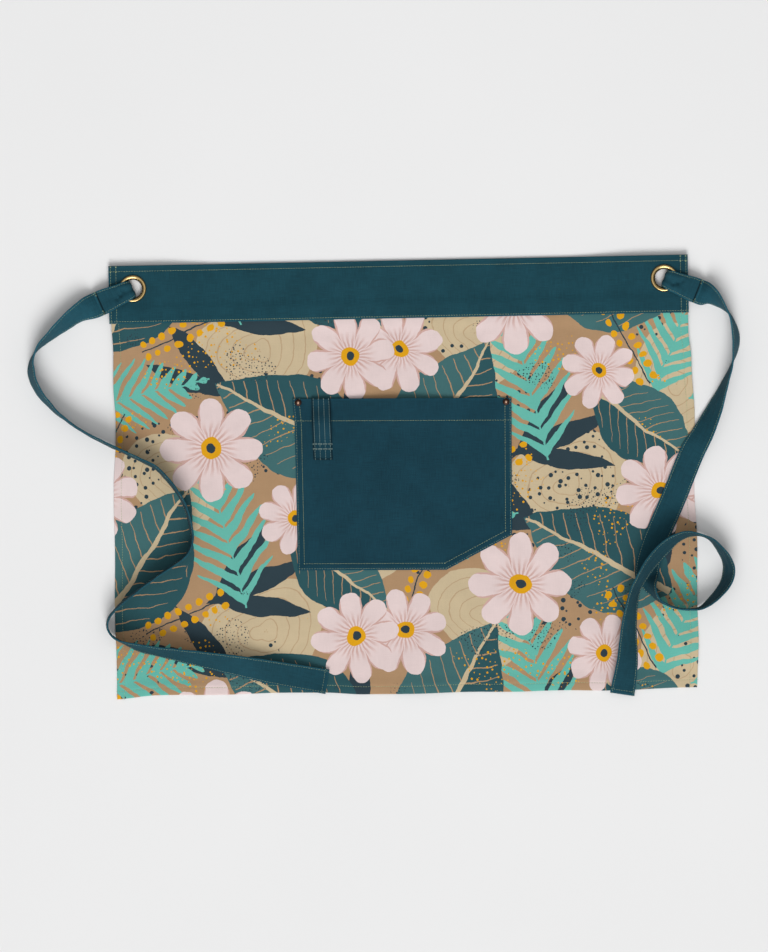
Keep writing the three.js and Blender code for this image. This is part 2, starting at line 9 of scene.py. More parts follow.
import bpy
import numpy as np
from bpy.props import FloatProperty, FloatVectorProperty, IntProperty, PointerProperty
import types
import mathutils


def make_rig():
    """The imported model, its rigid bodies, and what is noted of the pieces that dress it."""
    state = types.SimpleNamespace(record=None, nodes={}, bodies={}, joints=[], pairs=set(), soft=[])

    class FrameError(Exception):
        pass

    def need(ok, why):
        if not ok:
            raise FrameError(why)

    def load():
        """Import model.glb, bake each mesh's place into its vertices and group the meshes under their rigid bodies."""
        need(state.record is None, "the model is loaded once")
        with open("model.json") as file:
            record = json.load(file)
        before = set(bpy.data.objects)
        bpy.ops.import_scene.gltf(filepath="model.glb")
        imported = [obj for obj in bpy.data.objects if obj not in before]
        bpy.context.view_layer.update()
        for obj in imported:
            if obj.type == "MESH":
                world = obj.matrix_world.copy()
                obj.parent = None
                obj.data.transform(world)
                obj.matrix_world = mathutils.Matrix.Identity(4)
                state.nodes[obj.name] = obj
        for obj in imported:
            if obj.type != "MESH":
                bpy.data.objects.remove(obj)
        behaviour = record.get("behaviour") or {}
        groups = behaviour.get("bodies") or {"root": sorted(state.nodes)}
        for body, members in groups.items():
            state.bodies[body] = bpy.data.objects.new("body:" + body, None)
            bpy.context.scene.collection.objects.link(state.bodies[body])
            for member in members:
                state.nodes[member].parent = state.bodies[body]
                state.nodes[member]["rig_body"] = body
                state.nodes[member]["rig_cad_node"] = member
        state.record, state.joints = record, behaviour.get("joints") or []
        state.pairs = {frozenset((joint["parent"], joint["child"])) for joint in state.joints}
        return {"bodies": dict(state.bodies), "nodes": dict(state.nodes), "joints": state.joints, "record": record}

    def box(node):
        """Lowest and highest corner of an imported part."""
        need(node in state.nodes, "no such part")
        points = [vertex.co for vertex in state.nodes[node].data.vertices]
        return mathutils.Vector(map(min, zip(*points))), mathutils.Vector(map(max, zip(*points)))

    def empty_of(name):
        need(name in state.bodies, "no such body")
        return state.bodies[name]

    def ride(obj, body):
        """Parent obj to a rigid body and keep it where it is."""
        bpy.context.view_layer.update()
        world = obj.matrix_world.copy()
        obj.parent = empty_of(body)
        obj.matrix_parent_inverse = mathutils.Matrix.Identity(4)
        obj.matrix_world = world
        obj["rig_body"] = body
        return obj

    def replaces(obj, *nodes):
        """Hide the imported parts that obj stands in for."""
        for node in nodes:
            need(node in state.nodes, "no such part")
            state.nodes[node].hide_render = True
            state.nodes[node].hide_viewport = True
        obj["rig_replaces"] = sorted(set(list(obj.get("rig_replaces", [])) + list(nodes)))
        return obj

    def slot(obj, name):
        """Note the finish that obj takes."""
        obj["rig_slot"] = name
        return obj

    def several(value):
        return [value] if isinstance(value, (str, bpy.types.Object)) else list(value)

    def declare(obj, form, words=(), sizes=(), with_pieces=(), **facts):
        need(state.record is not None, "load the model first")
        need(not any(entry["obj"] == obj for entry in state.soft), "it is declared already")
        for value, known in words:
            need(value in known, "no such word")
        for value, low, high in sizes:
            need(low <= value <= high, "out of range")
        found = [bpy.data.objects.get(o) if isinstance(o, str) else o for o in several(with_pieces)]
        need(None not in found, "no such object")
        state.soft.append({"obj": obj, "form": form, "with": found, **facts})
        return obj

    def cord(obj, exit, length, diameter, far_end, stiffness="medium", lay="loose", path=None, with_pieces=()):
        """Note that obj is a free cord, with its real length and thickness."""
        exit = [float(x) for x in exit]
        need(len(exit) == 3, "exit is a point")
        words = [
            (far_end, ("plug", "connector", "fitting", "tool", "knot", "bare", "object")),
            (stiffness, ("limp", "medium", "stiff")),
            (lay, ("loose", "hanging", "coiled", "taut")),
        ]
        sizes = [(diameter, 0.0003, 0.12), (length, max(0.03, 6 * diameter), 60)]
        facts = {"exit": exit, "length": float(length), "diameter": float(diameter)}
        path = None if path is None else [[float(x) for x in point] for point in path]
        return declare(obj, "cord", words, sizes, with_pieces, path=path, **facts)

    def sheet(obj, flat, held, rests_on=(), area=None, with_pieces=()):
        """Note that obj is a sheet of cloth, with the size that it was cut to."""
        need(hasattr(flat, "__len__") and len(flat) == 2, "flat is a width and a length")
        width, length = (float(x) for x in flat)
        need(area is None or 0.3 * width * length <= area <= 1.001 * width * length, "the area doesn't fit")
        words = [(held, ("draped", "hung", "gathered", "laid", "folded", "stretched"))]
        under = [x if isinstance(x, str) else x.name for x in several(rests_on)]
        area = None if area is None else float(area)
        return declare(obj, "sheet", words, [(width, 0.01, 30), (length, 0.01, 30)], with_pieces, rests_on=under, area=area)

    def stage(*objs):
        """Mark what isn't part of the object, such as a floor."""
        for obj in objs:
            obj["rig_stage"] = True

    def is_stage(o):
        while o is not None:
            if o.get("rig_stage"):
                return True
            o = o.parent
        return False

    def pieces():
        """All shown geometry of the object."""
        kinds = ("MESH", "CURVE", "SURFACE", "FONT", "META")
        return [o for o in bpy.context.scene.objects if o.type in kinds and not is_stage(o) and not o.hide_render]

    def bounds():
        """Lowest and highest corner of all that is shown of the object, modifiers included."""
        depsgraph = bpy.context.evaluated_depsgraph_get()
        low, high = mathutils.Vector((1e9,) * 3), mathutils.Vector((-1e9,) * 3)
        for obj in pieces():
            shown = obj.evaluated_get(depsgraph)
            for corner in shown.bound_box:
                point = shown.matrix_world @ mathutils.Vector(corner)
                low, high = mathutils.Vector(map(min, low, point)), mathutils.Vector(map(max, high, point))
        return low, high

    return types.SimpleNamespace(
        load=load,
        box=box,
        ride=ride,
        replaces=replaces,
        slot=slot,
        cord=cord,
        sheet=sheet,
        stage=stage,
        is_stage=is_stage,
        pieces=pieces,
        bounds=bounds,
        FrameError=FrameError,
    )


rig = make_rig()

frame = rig.load()
CAD_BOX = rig.bounds()

bl_info = {
    "name": "Waist Apron",
    "version": (1, 0, 0),
    "blender": (4, 5, 0),
    "location": "View3D > Sidebar > Apron",
    "description": "Builds a laid waist apron piece by piece, with its print, stitching and metal",
    "category": "Add Mesh",
}

BODY = "root"
SIZE_FILE = "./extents.json"
MM = 0.001
UP = np.array((0.0, 0.0, 1.0))

# Whole apron, from the frame
PANEL_LOW, PANEL_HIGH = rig.box("apron_panel")
BAND_LOW, BAND_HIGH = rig.box("waistband")
HALF_WIDTH = BAND_HIGH.x
TOP = BAND_HIGH.y
BAND_BOTTOM = BAND_LOW.y
BOTTOM = PANEL_LOW.y
GAP = 0.3 * MM

# Panel
PANEL_WALL = 1.0 * MM
HEM_WIDTH = 10 * MM
HEM_EXTRA = 1.2 * MM
HEM_SETTLE = 12 * MM
HEM_STITCH = 9 * MM
HEM_FOLD = 0.6 * MM

# Waistband
BAND_WALL = 1.2 * MM
BAND_THICKNESS = 2.8 * MM
SEAM_THICKNESS = 4.0 * MM
SEAM_TUCK = 12 * MM
SEAM_CLEAR = 3 * MM
SEAM_RISE = 17 * MM
SEAM_LINE = BAND_BOTTOM - SEAM_CLEAR
SEAM_END = BAND_BOTTOM + SEAM_TUCK + SEAM_CLEAR
BAND_TOP_STITCH = TOP - 7 * MM
BAND_LOW_STITCH = BAND_BOTTOM + 2.4 * MM
BAND_END_STITCHES = (2.5 * MM, 9 * MM)

# The band's ends are lifted by the ties below them
END_LIFT = 4.4 * MM
END_INNER = 295 * MM
END_RAMP = 90 * MM
END_FADE = 85 * MM

# Eyelets and rivets
EYELET_LOW, EYELET_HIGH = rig.box("eyelet_right")
EYELET_X = (EYELET_LOW.x + EYELET_HIGH.x) / 2
EYELET_Y = (EYELET_LOW.y + EYELET_HIGH.y) / 2
EYELET_MID = END_LIFT + BAND_THICKNESS / 2
EYELET_HOLE = 11 * MM
EYELET_BARREL = 11.7 * MM
EYELET_FRONT = 16.5 * MM
EYELET_REAR = 15.5 * MM
EYELET_CREST = 14.6 * MM
EYELET_CROWN = 2.2 * MM
EYELET_SEAT = BAND_THICKNESS / 2 + GAP
EYELET_BACK = EYELET_SEAT + 0.9 * MM
EYELET_BEND = 0.3 * MM
EYELET_CHAMFER = 0.4 * MM
EYELET_SIDES = 72
# Share of the brass colour that darkens the eyelet's low relief, as painted shade
EYELET_PAINTED_SHADE = 0.5
EYELET_CALM = (17 * MM, 34 * MM)
CUTTER_SPAN = (-0.02, 0.03)
CUTTER_SIDES = 48
RIVET_SIDES = 40
RIVET_NUB = 1.3 * MM
# The rivet's section: radius and height in mm
RIVET_PROFILE_MM = (
    (0, 0),
    (4.0, 0),
    (4.1, 0.15),
    (4.1, 0.45),
    (3.95, 0.65),
    (3.5, 0.95),
    (2.8, 1.25),
    (1.9, 1.42),
    (1.62, 1.46),
    (1.55, 1.7),
    (1.4, 1.98),
    (1.0, 2.14),
    (0.5, 2.19),
    (0, 2.2),
)

# Pocket and towel loop, from the middle of the pocket's top edge
POCKET_PLACE = (2.6 * MM, 93.4 * MM, PANEL_WALL)
POCKET_TILT = math.radians(-0.9)
POCKET_HALF = 131.3 * MM
POCKET_DEPTH = 207.6 * MM
POCKET_WALL = 1.2 * MM
POCKET_HEM = 27 * MM
POCKET_HEM_EXTRA = 0.8 * MM
POCKET_SETTLE = 16 * MM
POCKET_TUCK = 3.6 * MM
POCKET_FLARE = 2 * MM
POCKET_FLARE_DEPTH = 36 * MM
BEVEL_RUN = 79.5 * MM
BEVEL_RISE = 42 * MM
POCKET_RISE = 5 * MM
POCKET_RISE_HALF = 100 * MM
POCKET_FULL_DEPTH = 110 * MM
POCKET_FLAT_DEPTH = 190 * MM
POCKET_STITCHES = (1.9 * MM, 8 * MM)
POCKET_BORDER = 0.35 * MM
POCKET_BORDER_ENDS = (9 * MM, 12 * MM)
LOOP_X = -99.1 * MM
LOOP_WIDTH = 23 * MM
LOOP_LENGTH = 74 * MM
LOOP_TUCK = 2 * MM
LOOP_WALL = 1.8 * MM
LOOP_SEWN = 6 * MM
LOOP_TACKED = 54 * MM
LOOP_ARCH = 7.5 * MM
LOOP_LEAN = 0.033
LOOP_LINES = (-9.4 * MM, -3.2 * MM, 3.2 * MM, 9.4 * MM)
LOOP_TACKS = (55 * MM, 61 * MM)

# Ties
TIE_WIDTH = 30 * MM
TIE_WALL = 2.0 * MM
TIE_FLOOR = 0.4 * MM
TIE_HOLE_WIDTH = 20.8 * MM
TIE_NECK = 24.5 * MM
TIE_NECK_REACH = 9 * MM
TIE_FULL_REACH = 42 * MM
PLEAT_DEPTH = 0.8 * MM
FOLD_REACH = 0.5 * MM
TAIL_REACH = 46 * MM
TAIL_TOP_REACH = 35 * MM
TAIL_STEP = 1.2 * MM
TAIL_LIFT = 5 * MM
UNDER_REACH = 47 * MM
UNDER_BAND_REACH = 33 * MM
# Dents in each tail beside the eyelet's rim: distance from the sewn end, share of the width, depth, reach
TAIL_DENTS = (
    (25.0 * MM, 0.17, 2.2 * MM, 2.8 * MM),
    (29.5 * MM, 0.04, 2.6 * MM, 2.4 * MM),
    (34.0 * MM, -0.12, 2.3 * MM, 2.6 * MM),
    (19.0 * MM, -0.24, 0.8 * MM, 5.0 * MM),
)
TIE_EDGE_STITCH = 2.2 * MM
TIE_END_STITCH = 6 * MM
TIE_HEM_EXTRA = 0.35 * MM
TAIL_STITCH = 3 * MM
TACK = 6 * MM
TACK_SHIFTS = (-0.45 * MM, 0.45 * MM)
TIE_FULLNESS = 0.12 * MM
TIE_LOOSE = (60 * MM, 100 * MM)
# Strength of the painted shade in the seam across each tail, and its shift from the stitch row
SEAM_SHADE = 1.4
SEAM_SHADE_SHIFT = 0.6 * MM

# Depth and reach of the groove that stitches pull into each cloth
PANEL_GROOVE = (0.25 * MM, 0.9 * MM)
BAND_GROOVE = (0.22 * MM, 0.9 * MM)
POCKET_GROOVE = (0.22 * MM, 0.8 * MM)
LOOP_GROOVE = (0.3 * MM, 0.7 * MM)
TIE_GROOVE = (0.25 * MM, 0.8 * MM)
TAIL_GROOVE = (0.8 * MM, 1.1 * MM)

# Stitch rows: step between their points, where they stop short of the cloth's edges, how far a stitch
# turns about each axis, and height of the thread above the cloth
ROW_STEP = 1.5 * MM
BAND_ROW_INSET = 0.5 * MM
BAND_ROW_TOP = TOP - 1.6 * MM
POCKET_ROW_INSET = 1 * MM
LOOP_ROW_INSETS = (0.6 * MM, 0.8 * MM, 1 * MM)
TAIL_ROW_SHARES = (-0.47, 0.47)
TAIL_TACK_SHARES = ((-0.48, -0.34), (0.34, 0.48))
STITCH_SWAY = (0, 0.06, 0.10)
THREAD_LIFT = 0.12 * MM
SUNK_LIFT = -0.14 * MM
TACK_LIFT = 0.3 * MM
LOOP_TACK_LIFT = 0.25 * MM
TAIL_THREAD_LIFT = 0.2 * MM

# How far the tone of a folded edge reaches in from it: wear with a painted highlight, and painted shade on the towel
# loop
PANEL_WEAR_AND_PAINTED_HIGHLIGHT = 1.5 * MM
BAND_WEAR_AND_PAINTED_HIGHLIGHT = 1.6 * MM
POCKET_WEAR_AND_PAINTED_HIGHLIGHT = 1.8 * MM
LOOP_EDGE_PAINTED_SHADE = 1.9 * MM
TIE_WEAR_AND_PAINTED_HIGHLIGHT = 1.6 * MM

# Insets of the close mesh lines that round off each folded edge, and steps between the other lines
PANEL_RIM = (0.1 * MM, 0.25 * MM, 0.5 * MM, 1.0 * MM)
CANVAS_RIM = (0.1 * MM, 0.3 * MM, 0.6 * MM)
LOOP_RIM = (0.15 * MM, 0.45 * MM, 0.9 * MM)
TIE_RIM = (0.12 * MM, 0.35 * MM, 0.7 * MM, 1.0 * MM, 1.6 * MM, 2.2 * MM, 2.8 * MM)
BAND_STEP = 2.5 * MM
BAND_BACK_STEP = 5 * MM
POCKET_STEP = 2.4 * MM
LOOP_STEPS = (1.2 * MM, 1.5 * MM)
TIE_STEP = 2.5 * MM
TIE_CROSS_STEP = 1.5 * MM

# Unevenness of the cloth: distance from one bump to the next
PANEL_BUMPS = 95 * MM
PANEL_DRIFTS = 260 * MM
HEM_CRIMP = 15 * MM
SIDE_BUMPS = 120 * MM
FOOT_BUMPS = 110 * MM
BAND_BUMPS = 60 * MM
BAND_CRIMP = 13 * MM
POCKET_BUMPS = 70 * MM
POCKET_CRIMP = 12 * MM
LOOP_CRIMP = 9 * MM
TIE_BUMPS = 24 * MM
TIE_CRIMP = 9 * MM

# How far the panel's edges sway, and over what distance the sway and the wrinkles fade
EDGE_SWAY = 2.4 * MM
EDGE_FADE = 60 * MM
SWAY_FADE = 100 * MM
WRINKLE_FADE = 30 * MM
PUCKER_REACH = 12 * MM
SEAM_PUCKER = 6 * MM
POCKET_CALM = (-14 * MM, 4 * MM)

# Canvas tones as multiples of the dye: dark and light yarns, painted shade in a seam, a painted highlight on a tie
# past its seam and painted shade farther on, and where along the tie those two come in
DYE_TONES = (0.72, 1.3)
SEAM_PAINTED_SHADE = 0.25
TIE_PAINTED_LIGHT = (1.22, 0.87)
TIE_NEAR = (0.06, 0.10)
TIE_FAR = (0.15, 0.40)

# Studio
FLOOR_REACH = 12.0
FLOOR_LEVEL = -0.6 * MM
KEY_PLACE = (0.0, -1.8, 1.9)
FILL_PLACE = (0.0, -0.3, 2.6)
FILL_SIZE = 2.0
HORIZON = (0.5, 0.51, 0.53, 1.0)
ZENITH = (1.0, 1.0, 1.0, 1.0)

# Waves of the lying cloth: x, y, height, reach along x, reach along y
WAVES = (
    (0.020, -0.262, 0.0040, 0.070, 0.110),
    (0.160, -0.262, 0.0030, 0.055, 0.080),
    (0.340, -0.212, 0.0024, 0.040, 0.034),
    (0.352, 0.122, 0.0030, 0.070, 0.058),
    (-0.352, 0.104, 0.0030, 0.070, 0.056),
)

# How far the panel's edges leave their straight lines: place along the edge, and shift to the right
# for a side or down for the foot
LEFT_EDGE = ((-0.100, 0.0), (0.000, 0.0024), (0.100, 0.0042), (0.150, 0.0042), (0.190, 0.0024))
RIGHT_EDGE = ((-0.260, 0.0012), (-0.195, 0.0040), (0.100, 0.0036), (0.133, 0.0028), (0.168, -0.0010))
FOOT_EDGE = (
    (-0.350, 0.0032),
    (-0.300, 0.0004),
    (-0.100, 0.0006),
    (-0.050, 0.0038),
    (0.150, 0.0028),
    (0.235, 0.0044),
    (0.350, 0.0034),
)

# Each tie's route beyond its eyelet: x, y, roll in degrees, height of the lower edge
LEFT_RUN = (
    (-0.3844, 0.2052, -42, 0.0004),
    (-0.4036, 0.1916, -59, 0.0004),
    (-0.4210, 0.1770, -73, 0.0004),
    (-0.4364, 0.1629, -86, 0.0004),
    (-0.4438, 0.1484, -99, 0.0004),
    (-0.4454, 0.1365, -107, 0.0004),
    (-0.4426, 0.1220, -107, 0.0004),
    (-0.4356, 0.1085, -105, 0.0004),
    (-0.4244, 0.0938, -101, 0.0004),
    (-0.4075, 0.0777, -95, 0.0004),
    (-0.3884, 0.0634, -93, 0.0006),
    (-0.3645, 0.0496, -95, 0.0026),
    (-0.3406, 0.0377, -95, 0.0030),
    (-0.3166, 0.0257, -96, 0.0018),
    (-0.2975, 0.0156, -97, 0.0014),
    (-0.2833, 0.0008, -98, 0.0014),
    (-0.2715, -0.0150, -97, 0.0014),
    (-0.2620, -0.0340, -97, 0.0014),
    (-0.2566, -0.0547, -97, 0.0014),
    (-0.2550, -0.0705, -96, 0.0014),
    (-0.2584, -0.0850, -95, 0.0014),
    (-0.2670, -0.0950, -94, 0.0014),
    (-0.3014, -0.1180, -94, 0.0014),
    (-0.3220, -0.1326, -95, 0.0018),
    (-0.3394, -0.1460, -95, 0.0029),
    (-0.3517, -0.1574, -94, 0.0029),
    (-0.3586, -0.1675, -94, 0.0022),
    (-0.3594, -0.1766, -93, 0.0020),
    (-0.3553, -0.1850, -92, 0.0027),
    (-0.3464, -0.1920, -91, 0.0030),
    (-0.3212, -0.2016, -107, 0.0018),
    (-0.2970, -0.2070, -112, 0.0014),
    (-0.2490, -0.2163, -128, 0.0014),
    (-0.2007, -0.2263, -146, 0.0018),
    (-0.1526, -0.2364, -165, 0.0028),
    (-0.0954, -0.2474, -180, 0.0030),
)
RIGHT_RUN = (
    (0.3772, 0.2088, 48, 0.0004),
    (0.3874, 0.2000, 73, 0.0004),
    (0.3946, 0.1920, 88, 0.0004),
    (0.4000, 0.1840, 97, 0.0004),
    (0.4058, 0.1605, 108, 0.0004),
    (0.4051, 0.1460, 105, 0.0004),
    (0.3987, 0.1208, 86, 0.0004),
    (0.3930, 0.1076, 80, 0.0004),
    (0.3806, 0.0777, 58, 0.0008),
    (0.3647, 0.0454, 34, 0.0029),
    (0.3510, 0.0214, 14, 0.0031),
    (0.3273, -0.0338, 0, 0.0024),
    (0.3070, -0.0780, 0, 0.0014),
    (0.2995, -0.0970, 2, 0.0014),
    (0.2943, -0.1150, 8, 0.0014),
    (0.2930, -0.1280, 24, 0.0014),
    (0.2950, -0.1380, 54, 0.0014),
    (0.3000, -0.1480, 76, 0.0014),
    (0.3080, -0.1575, 87, 0.0014),
    (0.3265, -0.1662, 90, 0.0024),
    (0.3446, -0.1687, 90, 0.0029),
    (0.3567, -0.1670, 94, 0.0024),
    (0.3690, -0.1590, 103, 0.0006),
    (0.3795, -0.1485, 108, 0.0004),
    (0.3888, -0.1354, 113, 0.0004),
    (0.3920, -0.1220, 115, 0.0004),
    (0.3893, -0.1088, 109, 0.0004),
    (0.3823, -0.0970, 103, 0.0004),
    (0.3734, -0.0867, 97, 0.0008),
    (0.3633, -0.0805, 92, 0.0022),
    (0.3524, -0.0778, 97, 0.0036),
    (0.3404, -0.0782, 105, 0.0050),
    (0.3257, -0.0845, 114, 0.0080),
    (0.3110, -0.0970, 122, 0.0100),
    (0.2974, -0.1118, 120, 0.0120),
    (0.2855, -0.1290, 115, 0.0130),
    (0.2773, -0.1464, 115, 0.0070),
    (0.2699, -0.1860, 128, 0.0014),
    (0.2672, -0.2285, 148, 0.0018),
    (0.2603, -0.2695, 172, 0.0030),
)
TIES = (("left", -1, LEFT_RUN), ("right", 1, RIGHT_RUN))

# The print repeats in a half-drop: each column of tiles is half a tile lower than the one before
TILE_WIDTH = 0.37
TILE_HEIGHT = 0.34
# Broad leaves, ferns, willow leaves and berry sprigs: x, y, heading in degrees, length, width
BROAD_LEAVES = (
    (0.062, 0.080, 58, 0.205, 0.125),
    (0.240, 0.245, 152, 0.200, 0.120),
    (0.300, 0.058, -38, 0.150, 0.090),
)
FERNS = (
    (0.160, 0.118, 104, 0.200, 0.092),
    (0.345, 0.178, 66, 0.170, 0.084),
    (0.062, 0.280, 12, 0.170, 0.076),
)
WILLOW_LEAVES = (
    (0.196, 0.050, 22, 0.130, 0.026),
    (0.204, 0.022, -8, 0.120, 0.024),
    (0.180, 0.078, 52, 0.110, 0.024),
    (0.136, 0.316, 128, 0.120, 0.026),
    (0.116, 0.296, 158, 0.105, 0.022),
    (0.318, 0.262, 84, 0.120, 0.026),
)
BERRY_SPRIGS = (
    (0.112, 0.012, 24, 0.110, 0.030),
    (0.282, 0.160, 118, 0.110, 0.030),
    (0.020, 0.212, 70, 0.100, 0.028),
)
# Daisies and pebbles: x, y, heading in degrees, radius
DAISIES = (
    (0.146, 0.212, 0, 0.062),
    (0.006, 0.158, 15, 0.052),
    (0.246, 0.128, 30, 0.046),
    (0.316, 0.322, 8, 0.054),
)
PEBBLES = (
    (0.206, 0.330, 20, 0.068),
    (0.338, 0.112, 75, 0.062),
    (0.098, 0.176, 130, 0.058),
)


def from_screen(red, green, blue):
    """A colour given as screen values from 0 to 255, as the linear colour that a shader takes."""
    shares = (part / 255 for part in (red, green, blue))
    return tuple(s / 12.92 if s <= 0.04045 else ((s + 0.055) / 1.055) ** 2.4 for s in shares)


def metres(name, description, default):
    return FloatProperty(name=name, description=description, default=default, unit="LENGTH", precision=5)


def colour(name, description, *screen):
    return FloatVectorProperty(
        name=name,
        description=description,
        default=from_screen(*screen),
        subtype="COLOR",
        min=0,
        max=1,
    )


class ApronCloth(bpy.types.PropertyGroup):
    """Sizes of the cloth's relief and of its stitching."""

    step: metres("Mesh step", "Distance between the panel's mesh lines", 3 * MM)
    wrinkle: metres("Wrinkles", "Height of the soft wrinkles in the panel", 0.9 * MM)
    pucker: metres("Puckers", "Height of the puckers along the seams", 0.45 * MM)
    weave: metres("Weave", "Distance between the canvas's threads", 0.6 * MM)
    pitch: metres("Stitch pitch", "Distance from one stitch to the next", 3.1 * MM)
    stitch: metres("Stitch length", "Length of the thread that shows in a stitch", 2.6 * MM)
    thread: metres("Thread", "Thickness of the sewing thread", 0.48 * MM)
    tie_thread: metres("Tie thread", "Thickness of the thread that sews the ties", 0.34 * MM)
    seed: IntProperty(name="Seed", description="Seed of the cloth's unevenness", default=11)


class ApronColours(bpy.types.PropertyGroup):
    """Colours of the cloths, the print, the thread and the metal."""

    band: colour("Waistband", "Canvas of the waistband", 23, 63, 74)
    pocket: colour("Pocket", "Canvas of the pocket and its loop", 19, 56, 69)
    tie: colour("Ties", "Cotton of the ties", 25, 66, 78)
    thread: colour("Thread", "Topstitching thread", 160, 174, 132)
    loop_thread: colour("Loop thread", "Thread of the towel loop", 142, 166, 158)
    ground: colour("Ground", "Ground of the print", 166, 134, 101)
    leaf: colour("Broad leaf", "Lit half of the broad leaves", 62, 102, 104)
    leaf_shade: colour("Leaf shade", "Dark half of the broad leaves", 42, 80, 86)
    fern: colour("Fern", "Fern sprigs", 98, 176, 162)
    willow: colour("Willow leaf", "Slim dark leaves and seeds", 44, 60, 68)
    petal: colour("Petal", "Daisy petals", 217, 198, 196)
    petal_shade: colour("Petal shade", "Streaks at the root of each petal", 196, 160, 152)
    berry: colour("Berry", "Berries and daisy hearts", 212, 154, 22)
    pebble: colour("Pebble", "Rounded pebbles", 192, 174, 142)
    backing: colour("Backing", "Unprinted back of the panel", 196, 184, 166)
    brass: colour("Brass", "Eyelets", 182, 156, 106)
    copper: colour("Copper", "Rivets", 62, 44, 38)
    # Painted highlight on the top of each rivet's nub
    copper_nub_highlight: colour("Rivet nub", "Worn nub of each rivet", 186, 150, 128)
    floor: colour("Floor", "Pale floor", 226, 226, 226)


class ApronStudio(bpy.types.PropertyGroup):
    """The camera straight above the apron and the soft light."""

    camera_height: metres("Camera height", "Height of the camera above the floor", 8.0)
    view_height: metres("View height", "Length of floor that the picture's height takes in", 1.1508)
    camera_x: metres("Camera X", "Place of the camera across the apron", -22.1 * MM)
    camera_y: metres("Camera Y", "Place of the camera along the apron", -0.2 * MM)
    camera_turn: FloatProperty(
        name="Camera turn",
        description="Turn of the camera about its line of sight",
        default=math.radians(-1.15),
        subtype="ANGLE",
    )
    key: FloatProperty(name="Key", description="Low soft light from the hem's side", default=2.36)
    key_spread: FloatProperty(
        name="Key spread",
        description="Angle that the low soft light fills",
        default=math.radians(32),
        subtype="ANGLE",
    )
    fill: FloatProperty(name="Fill", description="Wide light over the hem", default=14, unit="POWER")
    sky: FloatProperty(name="Sky", description="Strength of the even light overhead", default=0.43)


# Shapes shared by the pieces


def smooth(value, low, high):
    """0 below low and 1 above high, with a smooth rise between."""
    share = np.clip((value - low) / (high - low), 0, 1)
    return share * share * (3 - 2 * share)


def hump(distance, reach):
    """A rounded hump: 1 at the middle, 0 at the ends of its reach and beyond."""
    return np.where(np.abs(distance) < reach, 0.5 + 0.5 * np.cos(np.pi * distance / reach), 0)


def ridge(distance, reach):
    """A soft ridge: 1 at its middle and almost 0 at twice its reach."""
    return np.exp(-((distance / reach) ** 2))


def ripple(x, y, wavelength, seed, waves=10):
    """Smooth seeded unevenness, mostly from 0 to 1, with bumps about a wavelength across."""
    draw = np.random.default_rng(seed)
    total = 0
    for _ in range(waves):
        heading, phase = draw.uniform(0, 2 * np.pi, 2)
        pitch = wavelength * draw.uniform(0.7, 1.5)
        total = total + np.sin(2 * np.pi * (x * np.cos(heading) + y * np.sin(heading)) / pitch + phase)
    return np.clip(0.5 + 0.35 * total / math.sqrt(waves), 0, 1)


def lines(low, high, step, extra=()):
    """Evenly spaced places from low to high, with extra close ones between them."""
    even = np.linspace(low, high, math.ceil((high - low) / step) + 1)
    every = np.unique(np.concatenate([even, np.asarray(extra, float)]))
    return every[np.concatenate([[True], np.diff(every) > 0.1 * MM])]


def beside(*places, reach=0.8 * MM):
    """Close lines on both sides of each place, for a groove or a fold there."""
    return [place + shift * reach for place in places for shift in (-1.5, -0.7, 0, 0.7, 1.5)]


def both_sides(half, insets):
    """Places inset from both ends of a span that is centred on zero."""
    return [sign * (half - inset) for inset in insets for sign in (-1, 1)]


def groove(size, *distances):
    """Depth of the groove that rows of stitches pull into the cloth, at distances from those rows."""
    depth, reach = size
    return depth * np.maximum.reduce([ridge(distance, reach) for distance in distances])


def fold_round(edge, thick):
    """How full a folded edge is at a distance from it, from a blunt rim to the whole thickness."""
    share = np.clip(2 * edge / thick, 0, 1)
    return 0.3 + 0.7 * np.sqrt(1 - (1 - share) ** 2)


def wall(name, front, back, flat, edge):
    """A closed mesh between two grids of points, with its flat coordinates and its edge tone, which the canvas lays on
    as wear, painted highlight and painted shade.
    """
    rows, columns = front.shape[:2]
    points = np.concatenate([front.reshape(-1, 3), back.reshape(-1, 3)])
    at = np.arange(rows * columns).reshape(rows, columns)
    skin = np.stack([at[:-1, :-1], at[:-1, 1:], at[1:, 1:], at[1:, :-1]], -1).reshape(-1, 4)
    loop = np.concatenate([at[0, :-1], at[:-1, -1], at[-1, :0:-1], at[:0:-1, 0]])
    after = np.roll(loop, -1)
    shift = rows * columns
    rim = np.stack([after, loop, loop + shift, after + shift], -1)
    faces = np.concatenate([skin, skin[:, ::-1] + shift, rim])
    a, b, c, d = (points[faces[:, i]] for i in range(4))
    volume = (a * np.cross(b, c)).sum() + (a * np.cross(c, d)).sum()
    if volume < 0:
        faces = faces[:, ::-1]
    mesh = bpy.data.meshes.new(name)
    mesh.from_pydata(points.tolist(), [], faces.tolist())
    layer = mesh.uv_layers.new(name="cloth")
    both = np.concatenate([flat.reshape(-1, 2)] * 2)
    layer.uv.foreach_set("vector", both[faces.ravel()].astype(np.float32).ravel())
    tone = mesh.attributes.new("edge", "FLOAT", "POINT")
    tone.data.foreach_set("value", np.tile(np.ravel(edge), 2).astype(np.float32))
    mesh.shade_smooth()
    return mesh


